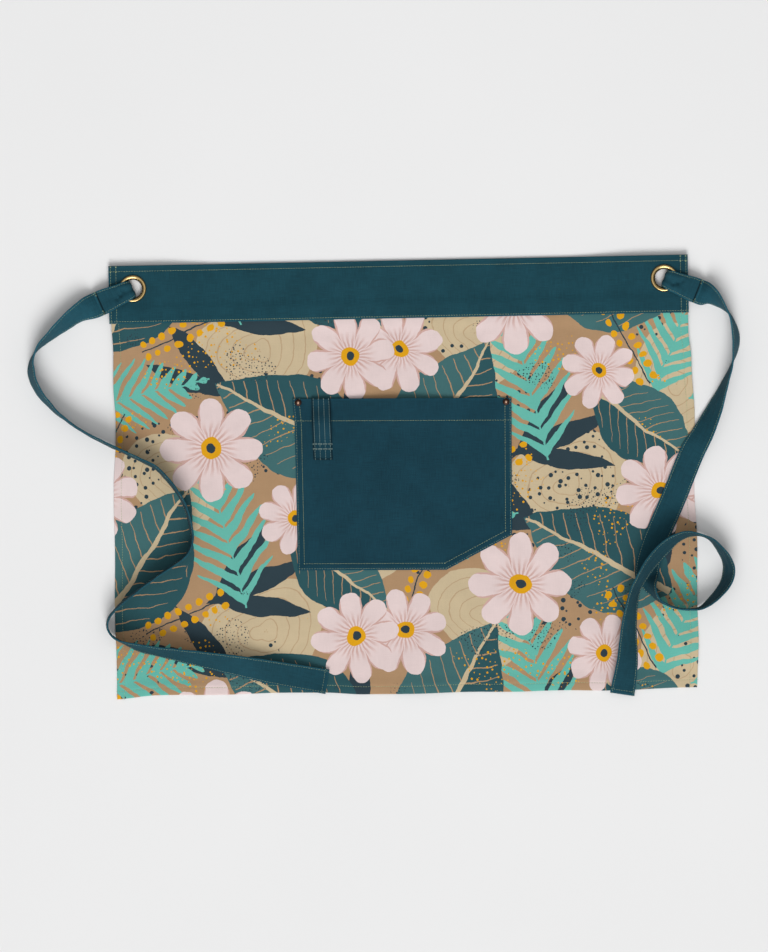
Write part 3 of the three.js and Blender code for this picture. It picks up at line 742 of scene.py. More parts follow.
def turned(name, profile, sides, place):
    """A profile of radius and height pairs turned about an upright line, closed at its poles."""
    angles = 2 * np.pi * np.arange(sides) / sides
    points, rings = [], []
    for radius, height in profile:
        if radius:
            ring = [len(points) + i for i in range(sides)]
            points += [(radius * np.cos(a), radius * np.sin(a), height) for a in angles]
        else:
            ring = [len(points)] * sides
            points.append((0, 0, height))
        rings.append(ring)
    faces = []
    has_pole = 0 in (profile[0][0], profile[-1][0])
    following = rings[1:] if has_pole else rings[1:] + rings[:1]
    for below, above in zip(rings, following):
        for i in range(sides):
            j = (i + 1) % sides
            faces.append(list(dict.fromkeys((below[i], below[j], above[j], above[i]))))
    mesh = bpy.data.meshes.new(name)
    mesh.from_pydata((np.array(points) + place).tolist(), [], faces)
    mesh.shade_smooth()
    return mesh


def add_piece(name, mesh, slot, *nodes):
    """A finished piece on the apron's one body, standing for its solids."""
    piece = bpy.data.objects.new(name, mesh)
    bpy.context.scene.collection.objects.link(piece)
    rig.ride(piece, BODY)
    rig.replaces(piece, *nodes)
    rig.slot(piece, slot)
    return piece


def settle(piece):
    """Works a piece's modifiers into a plain mesh."""
    ready = piece.evaluated_get(bpy.context.evaluated_depsgraph_get())
    mesh = bpy.data.meshes.new_from_object(ready)
    piece.modifiers.clear()
    piece.data = mesh


# Node maths


def fill_inputs(tree, node, values):
    """Sets a node's inputs, or links those whose values come from other nodes."""
    for key, value in values.items():
        if isinstance(value, Value):
            tree.links.new(value.socket, node.inputs[key])
        else:
            node.inputs[key].default_value = value


class Value:
    """A node's socket that takes part in Python arithmetic: each operator adds a Math node."""

    def __init__(self, tree, socket=None):
        self.tree = tree
        self.socket = socket

    def node(self, kind, settings=None, values=None, output=0):
        """A node of any kind: its settings first, then the values or links of its sockets."""
        made = self.tree.nodes.new(kind)
        for name, setting in (settings or {}).items():
            setattr(made, name, setting)
        fill_inputs(self.tree, made, values or {})
        return Value(self.tree, made.outputs[output])

    def output(self, key):
        """Another output of the node that made this value."""
        return Value(self.tree, self.socket.node.outputs[key])

    def math(self, operation, *others):
        return self.node("ShaderNodeMath", {"operation": operation}, dict(enumerate((self, *others))))

    def vector(self, operation, values):
        return self.node("ShaderNodeVectorMath", {"operation": operation}, {0: self, **values})

    def __add__(self, other):
        return self.math("ADD", other)

    def __sub__(self, other):
        return self.math("SUBTRACT", other)

    def __rsub__(self, other):
        return self.math("MULTIPLY_ADD", -1, other)

    def __mul__(self, other):
        return self.math("MULTIPLY", other)

    def __truediv__(self, other):
        return self.math("DIVIDE", other)

    def __lt__(self, other):
        return self.math("LESS_THAN", other)

    def __gt__(self, other):
        return self.math("GREATER_THAN", other)

    def __abs__(self):
        return self.math("ABSOLUTE")

    __radd__ = __add__
    __rmul__ = __mul__

    def eased(self, low, high):
        """0 below low and 1 above high, with a smooth rise between."""
        return self.node(
            "ShaderNodeMapRange",
            {"interpolation_type": "SMOOTHSTEP"},
            {"Value": self, "From Min": low, "From Max": high},
        )

    def mixed(self, first, second):
        """The first colour where this value is 0 and the second where it is 1."""
        return self.node("ShaderNodeMix", {"data_type": "RGBA"}, {0: self, 6: first, 7: second}, output=2)


def opaque(three):
    return (*three, 1.0)


def scaled(three, share):
    return opaque(part * share for part in three)


def new_finish(name):
    """A new material and the start of its maths."""
    material = bpy.data.materials.new(name)
    material.use_nodes = True
    return material, Value(material.node_tree)


def set_surface(material, sockets):
    fill_inputs(material.node_tree, material.node_tree.nodes["Principled BSDF"], sockets)


def cloth_coordinates(start):
    """The cloth's own coordinates in metres, as a vector and as its two parts."""
    place = start.node("ShaderNodeUVMap", {"uv_map": "cloth"})
    u = start.node("ShaderNodeSeparateXYZ", None, {0: place})
    return place, u, u.output(1)


def noise(place, stretch, detail=2.0):
    """Noise from 0 to 1 with a given number of bumps per metre along each direction."""
    spot = place.vector("MULTIPLY", {1: stretch})
    return place.node("ShaderNodeTexNoise", None, {"Vector": spot, "Scale": 1.0, "Detail": detail})


def weave_relief(place, u, v, pitch):
    """Height of plain-woven threads with uneven yarns, and how light or dark each yarn is."""
    turns = math.pi / pitch
    threads = (u * turns).math("SINE") * (v * turns).math("SINE")
    warp = noise(place, (1400, 60, 1))
    weft = noise(place, (60, 1400, 1))
    yarns = (warp + weft) * 0.5
    height = threads * (0.05 * MM) + yarns * (0.22 * MM)
    return height, yarns


def bumped(height):
    return height.node("ShaderNodeBump", None, {"Strength": 1.0, "Distance": 1.0, "Height": height})


def canvas(name, base, pitch, edge=2.3, edge_share=0.5, along=None):
    """Dyed canvas: uneven yarns, soft blotches of dye, and another tone along its folded edges.

    The edge tone is a multiple of the base colour, laid on by up to the edge share: a paler tone is wear
    with a painted highlight where the folds catch light, and a darker one is painted shade beside raised edges.
    Where the mesh's edge value is below zero, painted shade darkens a seam instead. Two tones along the
    cloth's length can be added: on a tie, a painted highlight just past its seam and painted shade farther on.
    """
    material, start = new_finish(name)
    place, u, v = cloth_coordinates(start)
    height, yarns = weave_relief(place, u, v, pitch)
    blotch = noise(place, (22, 22, 1), 3.0)
    fade = start.node("ShaderNodeAttribute", {"attribute_name": "edge"}, output=2)
    edge_wear_and_painted_light = fade * (noise(place, (260, 260, 1)).eased(0.35, 0.75) * (1 - edge_share) + edge_share)
    tone = yarns.eased(0.3, 0.7) * 0.65 + blotch.eased(0.3, 0.7) * 0.3
    body = tone.mixed(*(scaled(base, share) for share in DYE_TONES))
    # Folded edges: a paler tone is wear with a painted highlight, a darker one is painted shade
    toned_colour = (edge_wear_and_painted_light * edge_share).mixed(body, scaled(base, edge))
    # Painted shade in a seam, where the mesh's edge value is below zero
    toned_colour = (fade * -1).eased(0.0, 1.0).mixed(toned_colour, scaled(base, SEAM_PAINTED_SHADE))
    # Along a tie: a painted highlight just past the seam and painted shade farther on
    if along:
        near, far = along
        share = u.eased(*TIE_NEAR) * (near - 1) + u.eased(*TIE_FAR) * (far - near) + 1
        toned_colour = toned_colour.vector("SCALE", {"Scale": share})
    set_surface(
        material,
        {
            "Base Color": toned_colour,
            "Roughness": yarns * 0.2 + 0.72,
            "Normal": bumped(height),
            "Sheen Weight": 0.03,
            "Sheen Roughness": 0.5,
            "Specular IOR Level": 0.1,
        },
    )
    return material


# Print


class Print:
    """Motifs printed one over another on a half-drop repeat."""

    def __init__(self, u, v, inks):
        self.u = u
        self.v = v
        self.inks = inks
        self.colour = opaque(inks.ground)

    def stamp(self, mask, ink):
        self.colour = mask.mixed(self.colour, opaque(ink))

    def around(self, x, y, heading):
        """Coordinates along and across the nearest repeat of a motif."""
        column = ((self.u - x) / TILE_WIDTH).math("ROUND")
        right = self.u - x - column * TILE_WIDTH
        drop = self.v - y - column * (TILE_HEIGHT / 2)
        up = drop - (drop / TILE_HEIGHT).math("ROUND") * TILE_HEIGHT
        cosine, sine = math.cos(math.radians(heading)), math.sin(math.radians(heading))
        return right * cosine + up * sine, up * cosine - right * sine

    def polar(self, x, y, heading):
        along, across = self.around(x, y, heading)
        radius = (along * along + across * across).math("SQRT")
        return radius, across.math("ARCTAN2", along)

    def leaf(self, x, y, heading, length, width):
        """Shares of a leaf's half length and half width, and the distance across from its rib."""
        along, across = self.around(x, y, heading)
        return along / (length / 2), abs(across) / (width / 2), across

    def pebble(self, x, y, heading, radius):
        far, angle = self.polar(x, y, heading)
        lobes = (angle * 2).math("COSINE") * 0.12 + (angle * 3).math("SINE") * 0.08 + 1
        depth = far / (lobes * radius)
        self.stamp(depth < 1, self.inks.pebble)
        rings = (depth * 5 + (angle * 3).math("COSINE") * 0.12).math("FRACT") < 0.09
        self.stamp(rings * (depth < 0.86) * 0.6, self.inks.ground)

    def willow_leaf(self, x, y, heading, length, width):
        share, side, _ = self.leaf(x, y, heading, length, width)
        self.stamp(side < 1 - share * share, self.inks.willow)

    def fern(self, x, y, heading, length, width):
        share, side, across = self.leaf(x, y, heading, length, width)
        reach = (1 - share * share) * (1.15 - share * 0.3)
        leaflet = abs(((share - side * 0.42) * 5).math("FRACT") - 0.5) * 2.5
        inside = abs(share) < 1
        self.stamp((leaflet * leaflet * reach + side < reach) * inside, self.inks.fern)
        self.stamp((abs(across) < 0.0011) * inside, self.inks.fern)

    def broad_leaf(self, x, y, heading, length, width):
        share, side, across = self.leaf(x, y, heading, length, width)
        reach = (1 - share * share) * (1 - share * 0.32)
        inside = side < reach
        self.stamp(inside, self.inks.leaf)
        self.stamp(inside * (across < 0), self.inks.leaf_shade)
        veins = ((share - side * 0.5) * 5.5).math("FRACT") < 0.1 - side * 0.07
        self.stamp(veins * (side < reach * 0.84), self.inks.ground)
        rib = side < 0.045 - share * 0.025
        self.stamp(rib * (abs(share) < 0.97), self.inks.pebble)

    def berry_sprig(self, x, y, heading, length, width):
        along, across = self.around(x, y, heading)
        inside = abs(along / (length / 2)) < 0.99
        self.stamp((abs(across) < 0.0008) * inside, self.inks.willow)
        cell = length / 8
        step = ((along / cell).math("FRACT") - 0.5) * cell
        out = abs(across) - width * 0.28
        self.stamp((step * step + out * out < 0.0042**2) * inside, self.inks.berry)

    def daisy(self, x, y, heading, radius):
        far, angle = self.polar(x, y, heading)
        lobe = abs((angle * 4).math("COSINE")).math("POWER", 0.55)
        depth = far / radius
        petal = depth < lobe * 0.42 + 0.58
        self.stamp(petal, self.inks.petal)
        streak = abs((angle * 12).math("COSINE")).eased(0.55, 0.95) * (1 - depth.eased(0.25, 0.6))
        self.stamp(streak * petal, self.inks.petal_shade)
        gap = depth > lobe * 0.92 + 0.2
        self.stamp(gap * petal * (depth > 0.3), self.inks.petal_shade)
        self.stamp(depth < 0.2, self.inks.berry)
        self.stamp(depth < 0.09, self.inks.willow)

    def seeds(self, place, each, size, drift, cover, ink):
        """Loose dots, so many to a metre and with a radius in cells, where a drift passes the cover."""
        dots = place.node(
            "ShaderNodeTexVoronoi",
            {"voronoi_dimensions": "2D"},
            {"Vector": place.vector("MULTIPLY", {1: (each, each, 1)}), "Scale": 1.0, "Randomness": 0.9},
        )
        chance = place.node("ShaderNodeSeparateXYZ", None, {0: dots.output(1)})
        cloud = noise(place, (drift, drift, 1), 1.0)
        self.stamp((dots < (chance * 0.9 + 0.4) * size) * (cloud > cover), ink)


def brushed(place):
    """The cloth's coordinates pushed about a little, so that printed edges look painted by hand."""
    spot = place.vector("SCALE", {"Scale": 30.0})
    push = place.node("ShaderNodeTexNoise", None, {"Vector": spot, "Scale": 1.0, "Detail": 5.0}, output=1)
    moved = push.vector("MULTIPLY_ADD", {1: (0.012, 0.012, 0), 2: place})
    u = place.node("ShaderNodeSeparateXYZ", None, {0: moved})
    return u, u.output(1)


def printed_cotton(colours, pitch):
    """The panel's front: a botanical repeat printed on tan plain-woven cotton."""
    material, start = new_finish("printed cotton")
    place, u, v = cloth_coordinates(start)
    height, yarns = weave_relief(place, u, v, pitch)
    soft = noise(place, (34, 34, 1), 3.0)
    design = Print(*brushed(place), colours)
    for row in PEBBLES:
        design.pebble(*row)
    design.seeds(place, 88, 0.2, 7.5, 0.56, colours.willow)
    for row in WILLOW_LEAVES:
        design.willow_leaf(*row)
    for row in FERNS:
        design.fern(*row)
    for row in BROAD_LEAVES:
        design.broad_leaf(*row)
    design.seeds(place, 150, 0.16, 11, 0.6, colours.berry)
    design.seeds(place, 260, 0.2, 13, 0.63, colours.willow)
    for row in BERRY_SPRIGS:
        design.berry_sprig(*row)
    for row in DAISIES:
        design.daisy(*row)
    shade = (yarns * 0.5 + soft * 0.5).eased(0.2, 0.8) * 0.16 + 0.9
    set_surface(
        material,
        {
            "Base Color": design.colour.vector("SCALE", {"Scale": shade}),
            "Roughness": yarns * 0.2 + 0.7,
            "Normal": bumped(height),
            "Sheen Weight": 0.02,
            "Specular IOR Level": 0.1,
        },
    )
    return material


def thread_finish(name, base):
    """Twisted polyester thread, lighter and darker along its length."""
    material, start = new_finish(name)
    place = start.node("ShaderNodeTexCoord", output=3)
    light = noise(place, (900, 900, 900), 1.0)
    set_surface(
        material,
        {
            "Base Color": light.eased(0.3, 0.7).mixed(scaled(base, 0.7), scaled(base, 1.15)),
            "Roughness": light * 0.2 + 0.45,
            "Sheen Weight": 0.1,
        },
    )
    return material


def relief_toned_metal(name, base, toned_colour, low, high, roughness):
    """Metal with one colour low in its relief and another towards the top: painted shade low on the eyelets and a
    painted highlight on each rivet's nub.
    """
    material, start = new_finish(name)
    place = start.node("ShaderNodeTexCoord", output=3)
    patina = noise(place, (160, 160, 160), 4.0)
    scratch = noise(place, (2400, 500, 900), 2.0)
    top = start.node("ShaderNodeSeparateXYZ", None, {0: place}, output=2).eased(low, high)
    toward_top = top * (patina * 0.6 + 0.6)
    set_surface(
        material,
        {
            "Base Color": toward_top.mixed(opaque(base), opaque(toned_colour)),
            "Metallic": 1.0,
            "Roughness": patina * 0.22 + scratch * 0.1 + roughness,
            "Normal": bumped(scratch * (0.02 * MM) + patina * (0.05 * MM)),
        },
    )
    return material


# Panel


def end_lift(x):
    """How far the ties below lift the band at a place along it."""
    return END_LIFT * smooth(np.abs(x), END_INNER - END_RAMP, END_INNER)


def drape(x, y):
    """Height of the lying cloth's underside."""
    height = (BAND_WALL + GAP) * smooth(y, SEAM_LINE - SEAM_RISE, SEAM_LINE)
    height = height + end_lift(x) * smooth(y, SEAM_LINE - END_FADE, SEAM_LINE)
    for wave_x, wave_y, rise, reach_x, reach_y in WAVES:
        height = height + rise * hump(x - wave_x, reach_x) * hump(y - wave_y, reach_y)
    return height


def pocket_share(x, y):
    """1 where the pocket covers the panel, 0 well away from it."""
    inside = np.minimum(POCKET_HALF - np.abs(x - POCKET_PLACE[0]), POCKET_PLACE[1] - y)
    inside = np.minimum(inside, y - POCKET_PLACE[1] + POCKET_DEPTH)
    return smooth(inside, *POCKET_CALM)


def panel_relief(x, y, cloth):
    """Soft wrinkles all over and tight puckers along the hems and below the band."""
    side = HALF_WIDTH - np.abs(x)
    foot = y - BOTTOM
    seam = SEAM_LINE - y
    field = smooth(np.minimum(side, foot), 0, WRINKLE_FADE) * (1 - pocket_share(x, y))
    broad = ripple(x, y, PANEL_BUMPS, cloth.seed) * ripple(x, y, PANEL_DRIFTS, cloth.seed + 1)
    height = cloth.wrinkle * broad * field * smooth(seam, 0, WRINKLE_FADE)
    for offset, (along, distance) in enumerate(((y + 3 * x, side), (x, foot), (x, seam - SEAM_PUCKER))):
        crimp = ripple(along, 0 * along, HEM_CRIMP, cloth.seed + 3 + offset)
        height = height + cloth.pucker * crimp * ridge(distance - HEM_STITCH, PUCKER_REACH)
    return height * smooth(seam, -2 * MM, 4 * MM)


def panel_hem(x, y):
    """Distance to the panel's nearest hemmed edge, and how much a hem adds to the wall there."""
    edge = np.minimum(HALF_WIDTH - np.abs(x), y - BOTTOM)
    return edge, HEM_EXTRA * (1 - smooth(y, SEAM_LINE - SEAM_RISE, SEAM_LINE))


def panel_front(x, y, cloth):
    """Height of the panel's front, with its hems, wrinkles and stitch grooves."""
    edge, hem = panel_hem(x, y)
    top = drape(x, y) + PANEL_WALL + hem * (1 - smooth(edge, HEM_WIDTH, HEM_WIDTH + HEM_SETTLE))
    return top + panel_relief(x, y, cloth) - groove(PANEL_GROOVE, edge - HEM_STITCH) * (y < SEAM_LINE)


def edge_shift(place, rows):
    """A panel edge's shift at a place along it, eased from each row to the next."""
    steps = ((b[1] - a[1]) * smooth(place, a[0], b[0]) for a, b in zip(rows, rows[1:]))
    return rows[0][1] + sum(steps)


def panel_place(x, y, cloth):
    """Where a point of the flat panel lies, its sides and foot a little uneven."""
    sway = EDGE_SWAY * (ripple(y, 0 * y, SIDE_BUMPS, cloth.seed + 7) - 0.5)
    dip = EDGE_SWAY * (ripple(x, 0 * x, FOOT_BUMPS, cloth.seed + 8) - 0.5)
    sway = sway * smooth(-y, -BAND_BOTTOM, -BAND_BOTTOM + SWAY_FADE)
    sway = sway + np.where(x < 0, edge_shift(y, LEFT_EDGE), edge_shift(y, RIGHT_EDGE))
    shift_x = sway * smooth(np.abs(x), HALF_WIDTH - EDGE_FADE, HALF_WIDTH)
    shift_y = (dip - edge_shift(x, FOOT_EDGE)) * smooth(-y, -BOTTOM - EDGE_FADE, -BOTTOM)
    return np.stack([x + shift_x, y + shift_y, panel_front(x, y, cloth)], -1)


def panel_mesh(cloth):
    insets = [*PANEL_RIM, *beside(HEM_STITCH), HEM_WIDTH + 1 * MM]
    xs = lines(-HALF_WIDTH, HALF_WIDTH, cloth.step, both_sides(HALF_WIDTH, insets))
    ys = lines(BOTTOM, PANEL_HIGH.y, cloth.step, [BOTTOM + inset for inset in insets])
    x, y = np.meshgrid(xs, ys)
    edge, hem = panel_hem(x, y)
    thick = PANEL_WALL + hem * (1 - smooth(edge, HEM_WIDTH, HEM_WIDTH + HEM_FOLD))
    front = panel_place(x, y, cloth)
    lost = 0.5 * thick * (1 - fold_round(edge, thick))
    back = front - thick[..., None] * UP + lost[..., None] * UP
    front = front - lost[..., None] * UP
    mesh = wall("panel_cloth", front, back, np.stack([x, y], -1), ridge(edge, PANEL_WEAR_AND_PAINTED_HIGHLIGHT))
    # The back shows its unprinted side, apart from the turned-over hems
    skin = (len(ys) - 1) * (len(xs) - 1)
    unprinted = np.zeros(len(mesh.polygons), np.int32)
    unprinted[skin : 2 * skin] = (edge > HEM_WIDTH)[:-1, :-1].ravel()
    mesh.polygons.foreach_set("material_index", unprinted)
    return mesh


# Waistband


def band_relief(x, y, cloth):
    """Soft unevenness of the band's front, with puckers along its two seams."""
    seams = (BAND_LOW_STITCH, BAND_TOP_STITCH)
    clear = smooth(np.hypot(np.abs(x) - EYELET_X, y - EYELET_Y), *EYELET_CALM)
    soft = ripple(x, y, BAND_BUMPS, cloth.seed + 21) * smooth(y, BAND_BOTTOM, BAND_BOTTOM + 20 * MM)
    height = 0.5 * cloth.wrinkle * soft * smooth(-y, -TOP, -TOP + 12 * MM)
    for offset, line in enumerate(seams):
        crimp = ripple(x, 0 * x, BAND_CRIMP, cloth.seed + 23 + offset)
        height = height + 0.6 * cloth.pucker * crimp * ridge(y - line, 6 * MM)
    ends = [HALF_WIDTH - np.abs(x) - inset for inset in BAND_END_STITCHES]
    return height * clear - groove(BAND_GROOVE, *ends, *(y - line for line in seams))


def band_front(x, y, cloth):
    """Height of the band's front, thicker where the panel is sewn in."""
    seam = SEAM_THICKNESS - BAND_THICKNESS
    level = BAND_THICKNESS + seam * (1 - smooth(y, SEAM_END, SEAM_END + SEAM_TUCK))
    return level + end_lift(x) + band_relief(x, y, cloth)


def band_section(xs, cloth):
    """Rows of the band's outer and inner face: up its front, over its fold and down its back."""

    def row(y, z):
        return np.stack([xs, y + 0 * xs, z], -1)

    half = BAND_THICKNESS / 2
    fold = TOP - half
    lift = end_lift(xs)
    rim = [BAND_BOTTOM + inset for inset in CANVAS_RIM]
    for y in lines(BAND_BOTTOM, fold, BAND_STEP, [*rim, *beside(BAND_LOW_STITCH, BAND_TOP_STITCH)]):
        z = band_front(xs, y + 0 * xs, cloth)
        lost = 0.5 * BAND_WALL * (1 - fold_round(y - BAND_BOTTOM, BAND_WALL))
        yield row(y, z - lost), row(y, z - BAND_WALL + lost)
    crest = band_front(xs, fold + 0 * xs, cloth) - BAND_THICKNESS - lift
    for turn in np.radians(np.arange(75, -76, -15)):
        level = lift + half + (0.5 + 0.5 * np.sin(turn)) * crest
        radii = (half, half - BAND_WALL)
        yield tuple(row(fold + radius * np.cos(turn), level + radius * np.sin(turn)) for radius in radii)
    for y in lines(BAND_BOTTOM, fold, BAND_BACK_STEP, rim)[::-1]:
        lost = 0.5 * BAND_WALL * (1 - fold_round(y - BAND_BOTTOM, BAND_WALL))
        yield row(y, lift + lost), row(y, lift + BAND_WALL - lost)


def band_mesh(cloth):
    insets = [*CANVAS_RIM, *beside(*BAND_END_STITCHES)]
    xs = lines(-HALF_WIDTH, HALF_WIDTH, cloth.step, both_sides(HALF_WIDTH, insets))
    front, back = (np.array(face) for face in zip(*band_section(xs, cloth)))
    steps = np.linalg.norm(np.diff(front[:, 0, 1:], axis=0), axis=1)
    flat = np.stack(np.meshgrid(xs, np.concatenate([[0], np.cumsum(steps)])), -1)
    y = front[..., 1]
    edge = np.minimum.reduce([HALF_WIDTH - np.abs(front[..., 0]), TOP - y, y - BAND_BOTTOM])
    return wall("waistband_canvas", front, back, flat, ridge(edge, BAND_WEAR_AND_PAINTED_HIGHLIGHT))


def punch_eyelet_holes(piece, place, radius):
    """Cuts the two round holes that the eyelets line."""
    low, high = CUTTER_SPAN
    profile = ((0, low), (radius, low), (radius, high), (0, high))
    for side in (-1, 1):
        spot = (side * place[0], place[1], 0)
        cutter = bpy.data.objects.new("eyelet_cutter", turned("eyelet_cutter", profile, CUTTER_SIDES, spot))
        bpy.context.scene.collection.objects.link(cutter)
        cut = piece.modifiers.new("eyelet hole", "BOOLEAN")
        cut.operation = "DIFFERENCE"
        cut.solver = "EXACT"
        cut.object = cutter
        settle(piece)
        bpy.data.objects.remove(cutter)


# Eyelets


def eyelet_profile():
    """The eyelet's section: a rolled rim that runs down into the barrel, and a flat rear flange."""
    quarter = np.radians(np.linspace(0, 90, 8))
    outer = EYELET_FRONT - EYELET_CREST
    inner = EYELET_CREST - EYELET_HOLE
    drop = EYELET_SEAT + EYELET_CROWN - EYELET_BEND
    rim = [(EYELET_CREST + outer * np.cos(a), EYELET_SEAT + EYELET_CROWN * np.sin(a)) for a in quarter]
    throat = [(EYELET_CREST - inner * np.sin(a), EYELET_BEND + drop * np.cos(a)) for a in quarter[1:]]
    rear = [
        (EYELET_HOLE, -EYELET_BACK + EYELET_CHAMFER),
        (EYELET_HOLE + EYELET_CHAMFER, -EYELET_BACK),
        (EYELET_REAR - EYELET_BEND, -EYELET_BACK),
        (EYELET_REAR, -EYELET_BACK + EYELET_BEND),
        (EYELET_REAR, -EYELET_SEAT),
        (EYELET_BARREL, -EYELET_SEAT),
        (EYELET_BARREL, EYELET_SEAT),
    ]
    return [*rim, *throat, *rear][::-1]


# Pocket and towel loop


def pocket_left(y):
    """The left side, which runs in towards the foot and flares out at the mouth."""
    flare = POCKET_FLARE * (1 - smooth(-y, 0, POCKET_FLARE_DEPTH))
    return -POCKET_HALF - POCKET_TUCK * y / POCKET_DEPTH - flare


def pocket_right(y):
    """The right side, cut in by the bevel at the foot."""
    below = np.maximum(0, BEVEL_RISE - POCKET_DEPTH - y)
    return POCKET_HALF - BEVEL_RUN * below / BEVEL_RISE


def pocket_edge(x, y):
    """Distance to the pocket's nearest sewn edge."""
    slant = math.hypot(BEVEL_RUN, BEVEL_RISE)
    corner_x, corner_y = POCKET_HALF - BEVEL_RUN, -POCKET_DEPTH
    bevel = ((y - corner_y) * BEVEL_RUN - (x - corner_x) * BEVEL_RISE) / slant
    return np.minimum.reduce([x - pocket_left(y), POCKET_HALF - x, y + POCKET_DEPTH, bevel])


def pocket_front(x, y, cloth):
    """Height of the pocket's front above the panel, in the pocket's own coordinates."""
    hem = POCKET_HEM_EXTRA * (1 - smooth(-y, POCKET_HEM, POCKET_HEM + POCKET_SETTLE))
    gape = 1 - smooth(-y, POCKET_FULL_DEPTH, POCKET_FLAT_DEPTH)
    level = GAP + POCKET_WALL + hem + POCKET_RISE * hump(x, POCKET_RISE_HALF) * gape
    edge = pocket_edge(x, y)
    border = POCKET_BORDER * (1 - smooth(edge, *POCKET_BORDER_ENDS))
    soft = 0.5 * cloth.wrinkle * ripple(x, y, POCKET_BUMPS, cloth.seed + 31) * smooth(edge, 4 * MM, 24 * MM)
    crimp = ripple(x + 2 * y, y, POCKET_CRIMP, cloth.seed + 33)
    pucker = 0.4 * cloth.pucker * crimp * ridge(edge - 5 * MM, 6 * MM)
    seams = [edge - line for line in POCKET_STITCHES]
    return level + border + soft + pucker - groove(POCKET_GROOVE, *seams, y + POCKET_HEM)


def from_pocket(x, y, z):
    """The pocket's own coordinates as a place on the apron."""
    cosine, sine = math.cos(POCKET_TILT), math.sin(POCKET_TILT)
    turned_x = POCKET_PLACE[0] + x * cosine - y * sine
    turned_y = POCKET_PLACE[1] + x * sine + y * cosine
    return np.stack([turned_x, turned_y, POCKET_PLACE[2] + z], -1)


def pocket_mesh(cloth):
    insets = [*CANVAS_RIM, *beside(*POCKET_STITCHES), sum(POCKET_BORDER_ENDS) / 2]
    across = lines(-POCKET_HALF, POCKET_HALF, POCKET_STEP, both_sides(POCKET_HALF, insets))
    shares = (across + POCKET_HALF) / (2 * POCKET_HALF)
    low = [inset - POCKET_DEPTH for inset in insets]
    high = [-inset for inset in (*CANVAS_RIM, *beside(POCKET_HEM))]
    ys = lines(-POCKET_DEPTH, 0, POCKET_STEP, [*low, *high, BEVEL_RISE - POCKET_DEPTH])
    share, y = np.meshgrid(shares, ys)
    x = pocket_left(y) + share * (pocket_right(y) - pocket_left(y))
    edge = np.minimum(pocket_edge(x, y), -y)
    hem = POCKET_HEM_EXTRA * (1 - smooth(-y, POCKET_HEM, POCKET_HEM + HEM_FOLD))
    thick = POCKET_WALL + hem
    z = pocket_front(x, y, cloth)
    lost = 0.5 * thick * (1 - fold_round(edge, thick))
    front = from_pocket(x, y, z - lost)
    back = from_pocket(x, y, z - thick + lost)
    return wall("pocket_canvas", front, back, np.stack([x, y], -1), ridge(edge, POCKET_WEAR_AND_PAINTED_HIGHLIGHT))


def loop_front(across, y, cloth, lift=0.0):
    """A place on the towel loop's front: sewn at the top, tacked lower down, arched between."""
    x = LOOP_X + across - LOOP_LEAN * y
    free = (LOOP_TACKED - LOOP_SEWN) / 2
    arch = LOOP_ARCH * hump(LOOP_SEWN + free + y, free)
    seams = [across - line for line in LOOP_LINES]
    seams += [y + tack for tack in LOOP_TACKS]
    crimp = 0.3 * cloth.pucker * ripple(x, y, LOOP_CRIMP, cloth.seed + 41)
    height = GAP + LOOP_WALL + arch + crimp - groove(LOOP_GROOVE, *seams)
    return from_pocket(x, y, pocket_front(x, y, cloth) + height + lift)


def loop_mesh(cloth):
    half = LOOP_WIDTH / 2
    cross_step, step = LOOP_STEPS
    across = lines(-half, half, cross_step, [*both_sides(half, LOOP_RIM), *LOOP_LINES])
    foot = [inset - LOOP_LENGTH for inset in LOOP_RIM]
    ys = lines(-LOOP_LENGTH, 0, step, [*foot, *(-tack for tack in LOOP_TACKS)])
    across, y = np.meshgrid(across, ys)
    edge = np.minimum.reduce([half - np.abs(across), y + LOOP_LENGTH, LOOP_TUCK - y])
    lost = 0.5 * LOOP_WALL * (1 - fold_round(edge, LOOP_WALL))
    front = loop_front(across, y, cloth, -lost)
    back = loop_front(across, y, cloth, lost - LOOP_WALL)
    return wall("towel_loop_strip", front, back, np.stack([y, across], -1), ridge(edge, LOOP_EDGE_PAINTED_SHADE))


# Ties


def through(rows, step):
    """Places and headings about a step apart on a smooth curve through the rows, every column alike."""
    rows = np.asarray(rows, float)
    ends = np.vstack([2 * rows[0] - rows[1], rows, 2 * rows[-1] - rows[-2]])
    places, headings = [], []
    for i in range(len(rows) - 1):
        a, b, c, d = ends[i : i + 4]
        before, here, after = (np.linalg.norm((q - p)[:2]) ** 0.5 for p, q in ((a, b), (b, c), (c, d)))
        leave = ((b - a) / before - (c - a) / (before + here) + (c - b) / here) * here
        arrive = ((c - b) / here - (d - b) / (here + after) + (d - c) / after) * here
        count = math.ceil(np.linalg.norm((c - b)[:2]) / step)
        last = i == len(rows) - 2
        t = (np.arange(count + last) / count)[:, None]
        square = 3 * (c - b) - 2 * leave - arrive
        cube = 2 * (b - c) + leave + arrive
        places.append(b + t * (leave + t * (square + t * cube)))
        headings.append(leave + t * (2 * square + 3 * t * cube))
    return np.vstack(places), np.vstack(headings)


def level_left(heading):
    """The level direction to the left of a heading."""
    left = np.stack([-heading[..., 1], heading[..., 0], 0 * heading[..., 0]], -1)
    return left / np.linalg.norm(left, axis=-1, keepdims=True)


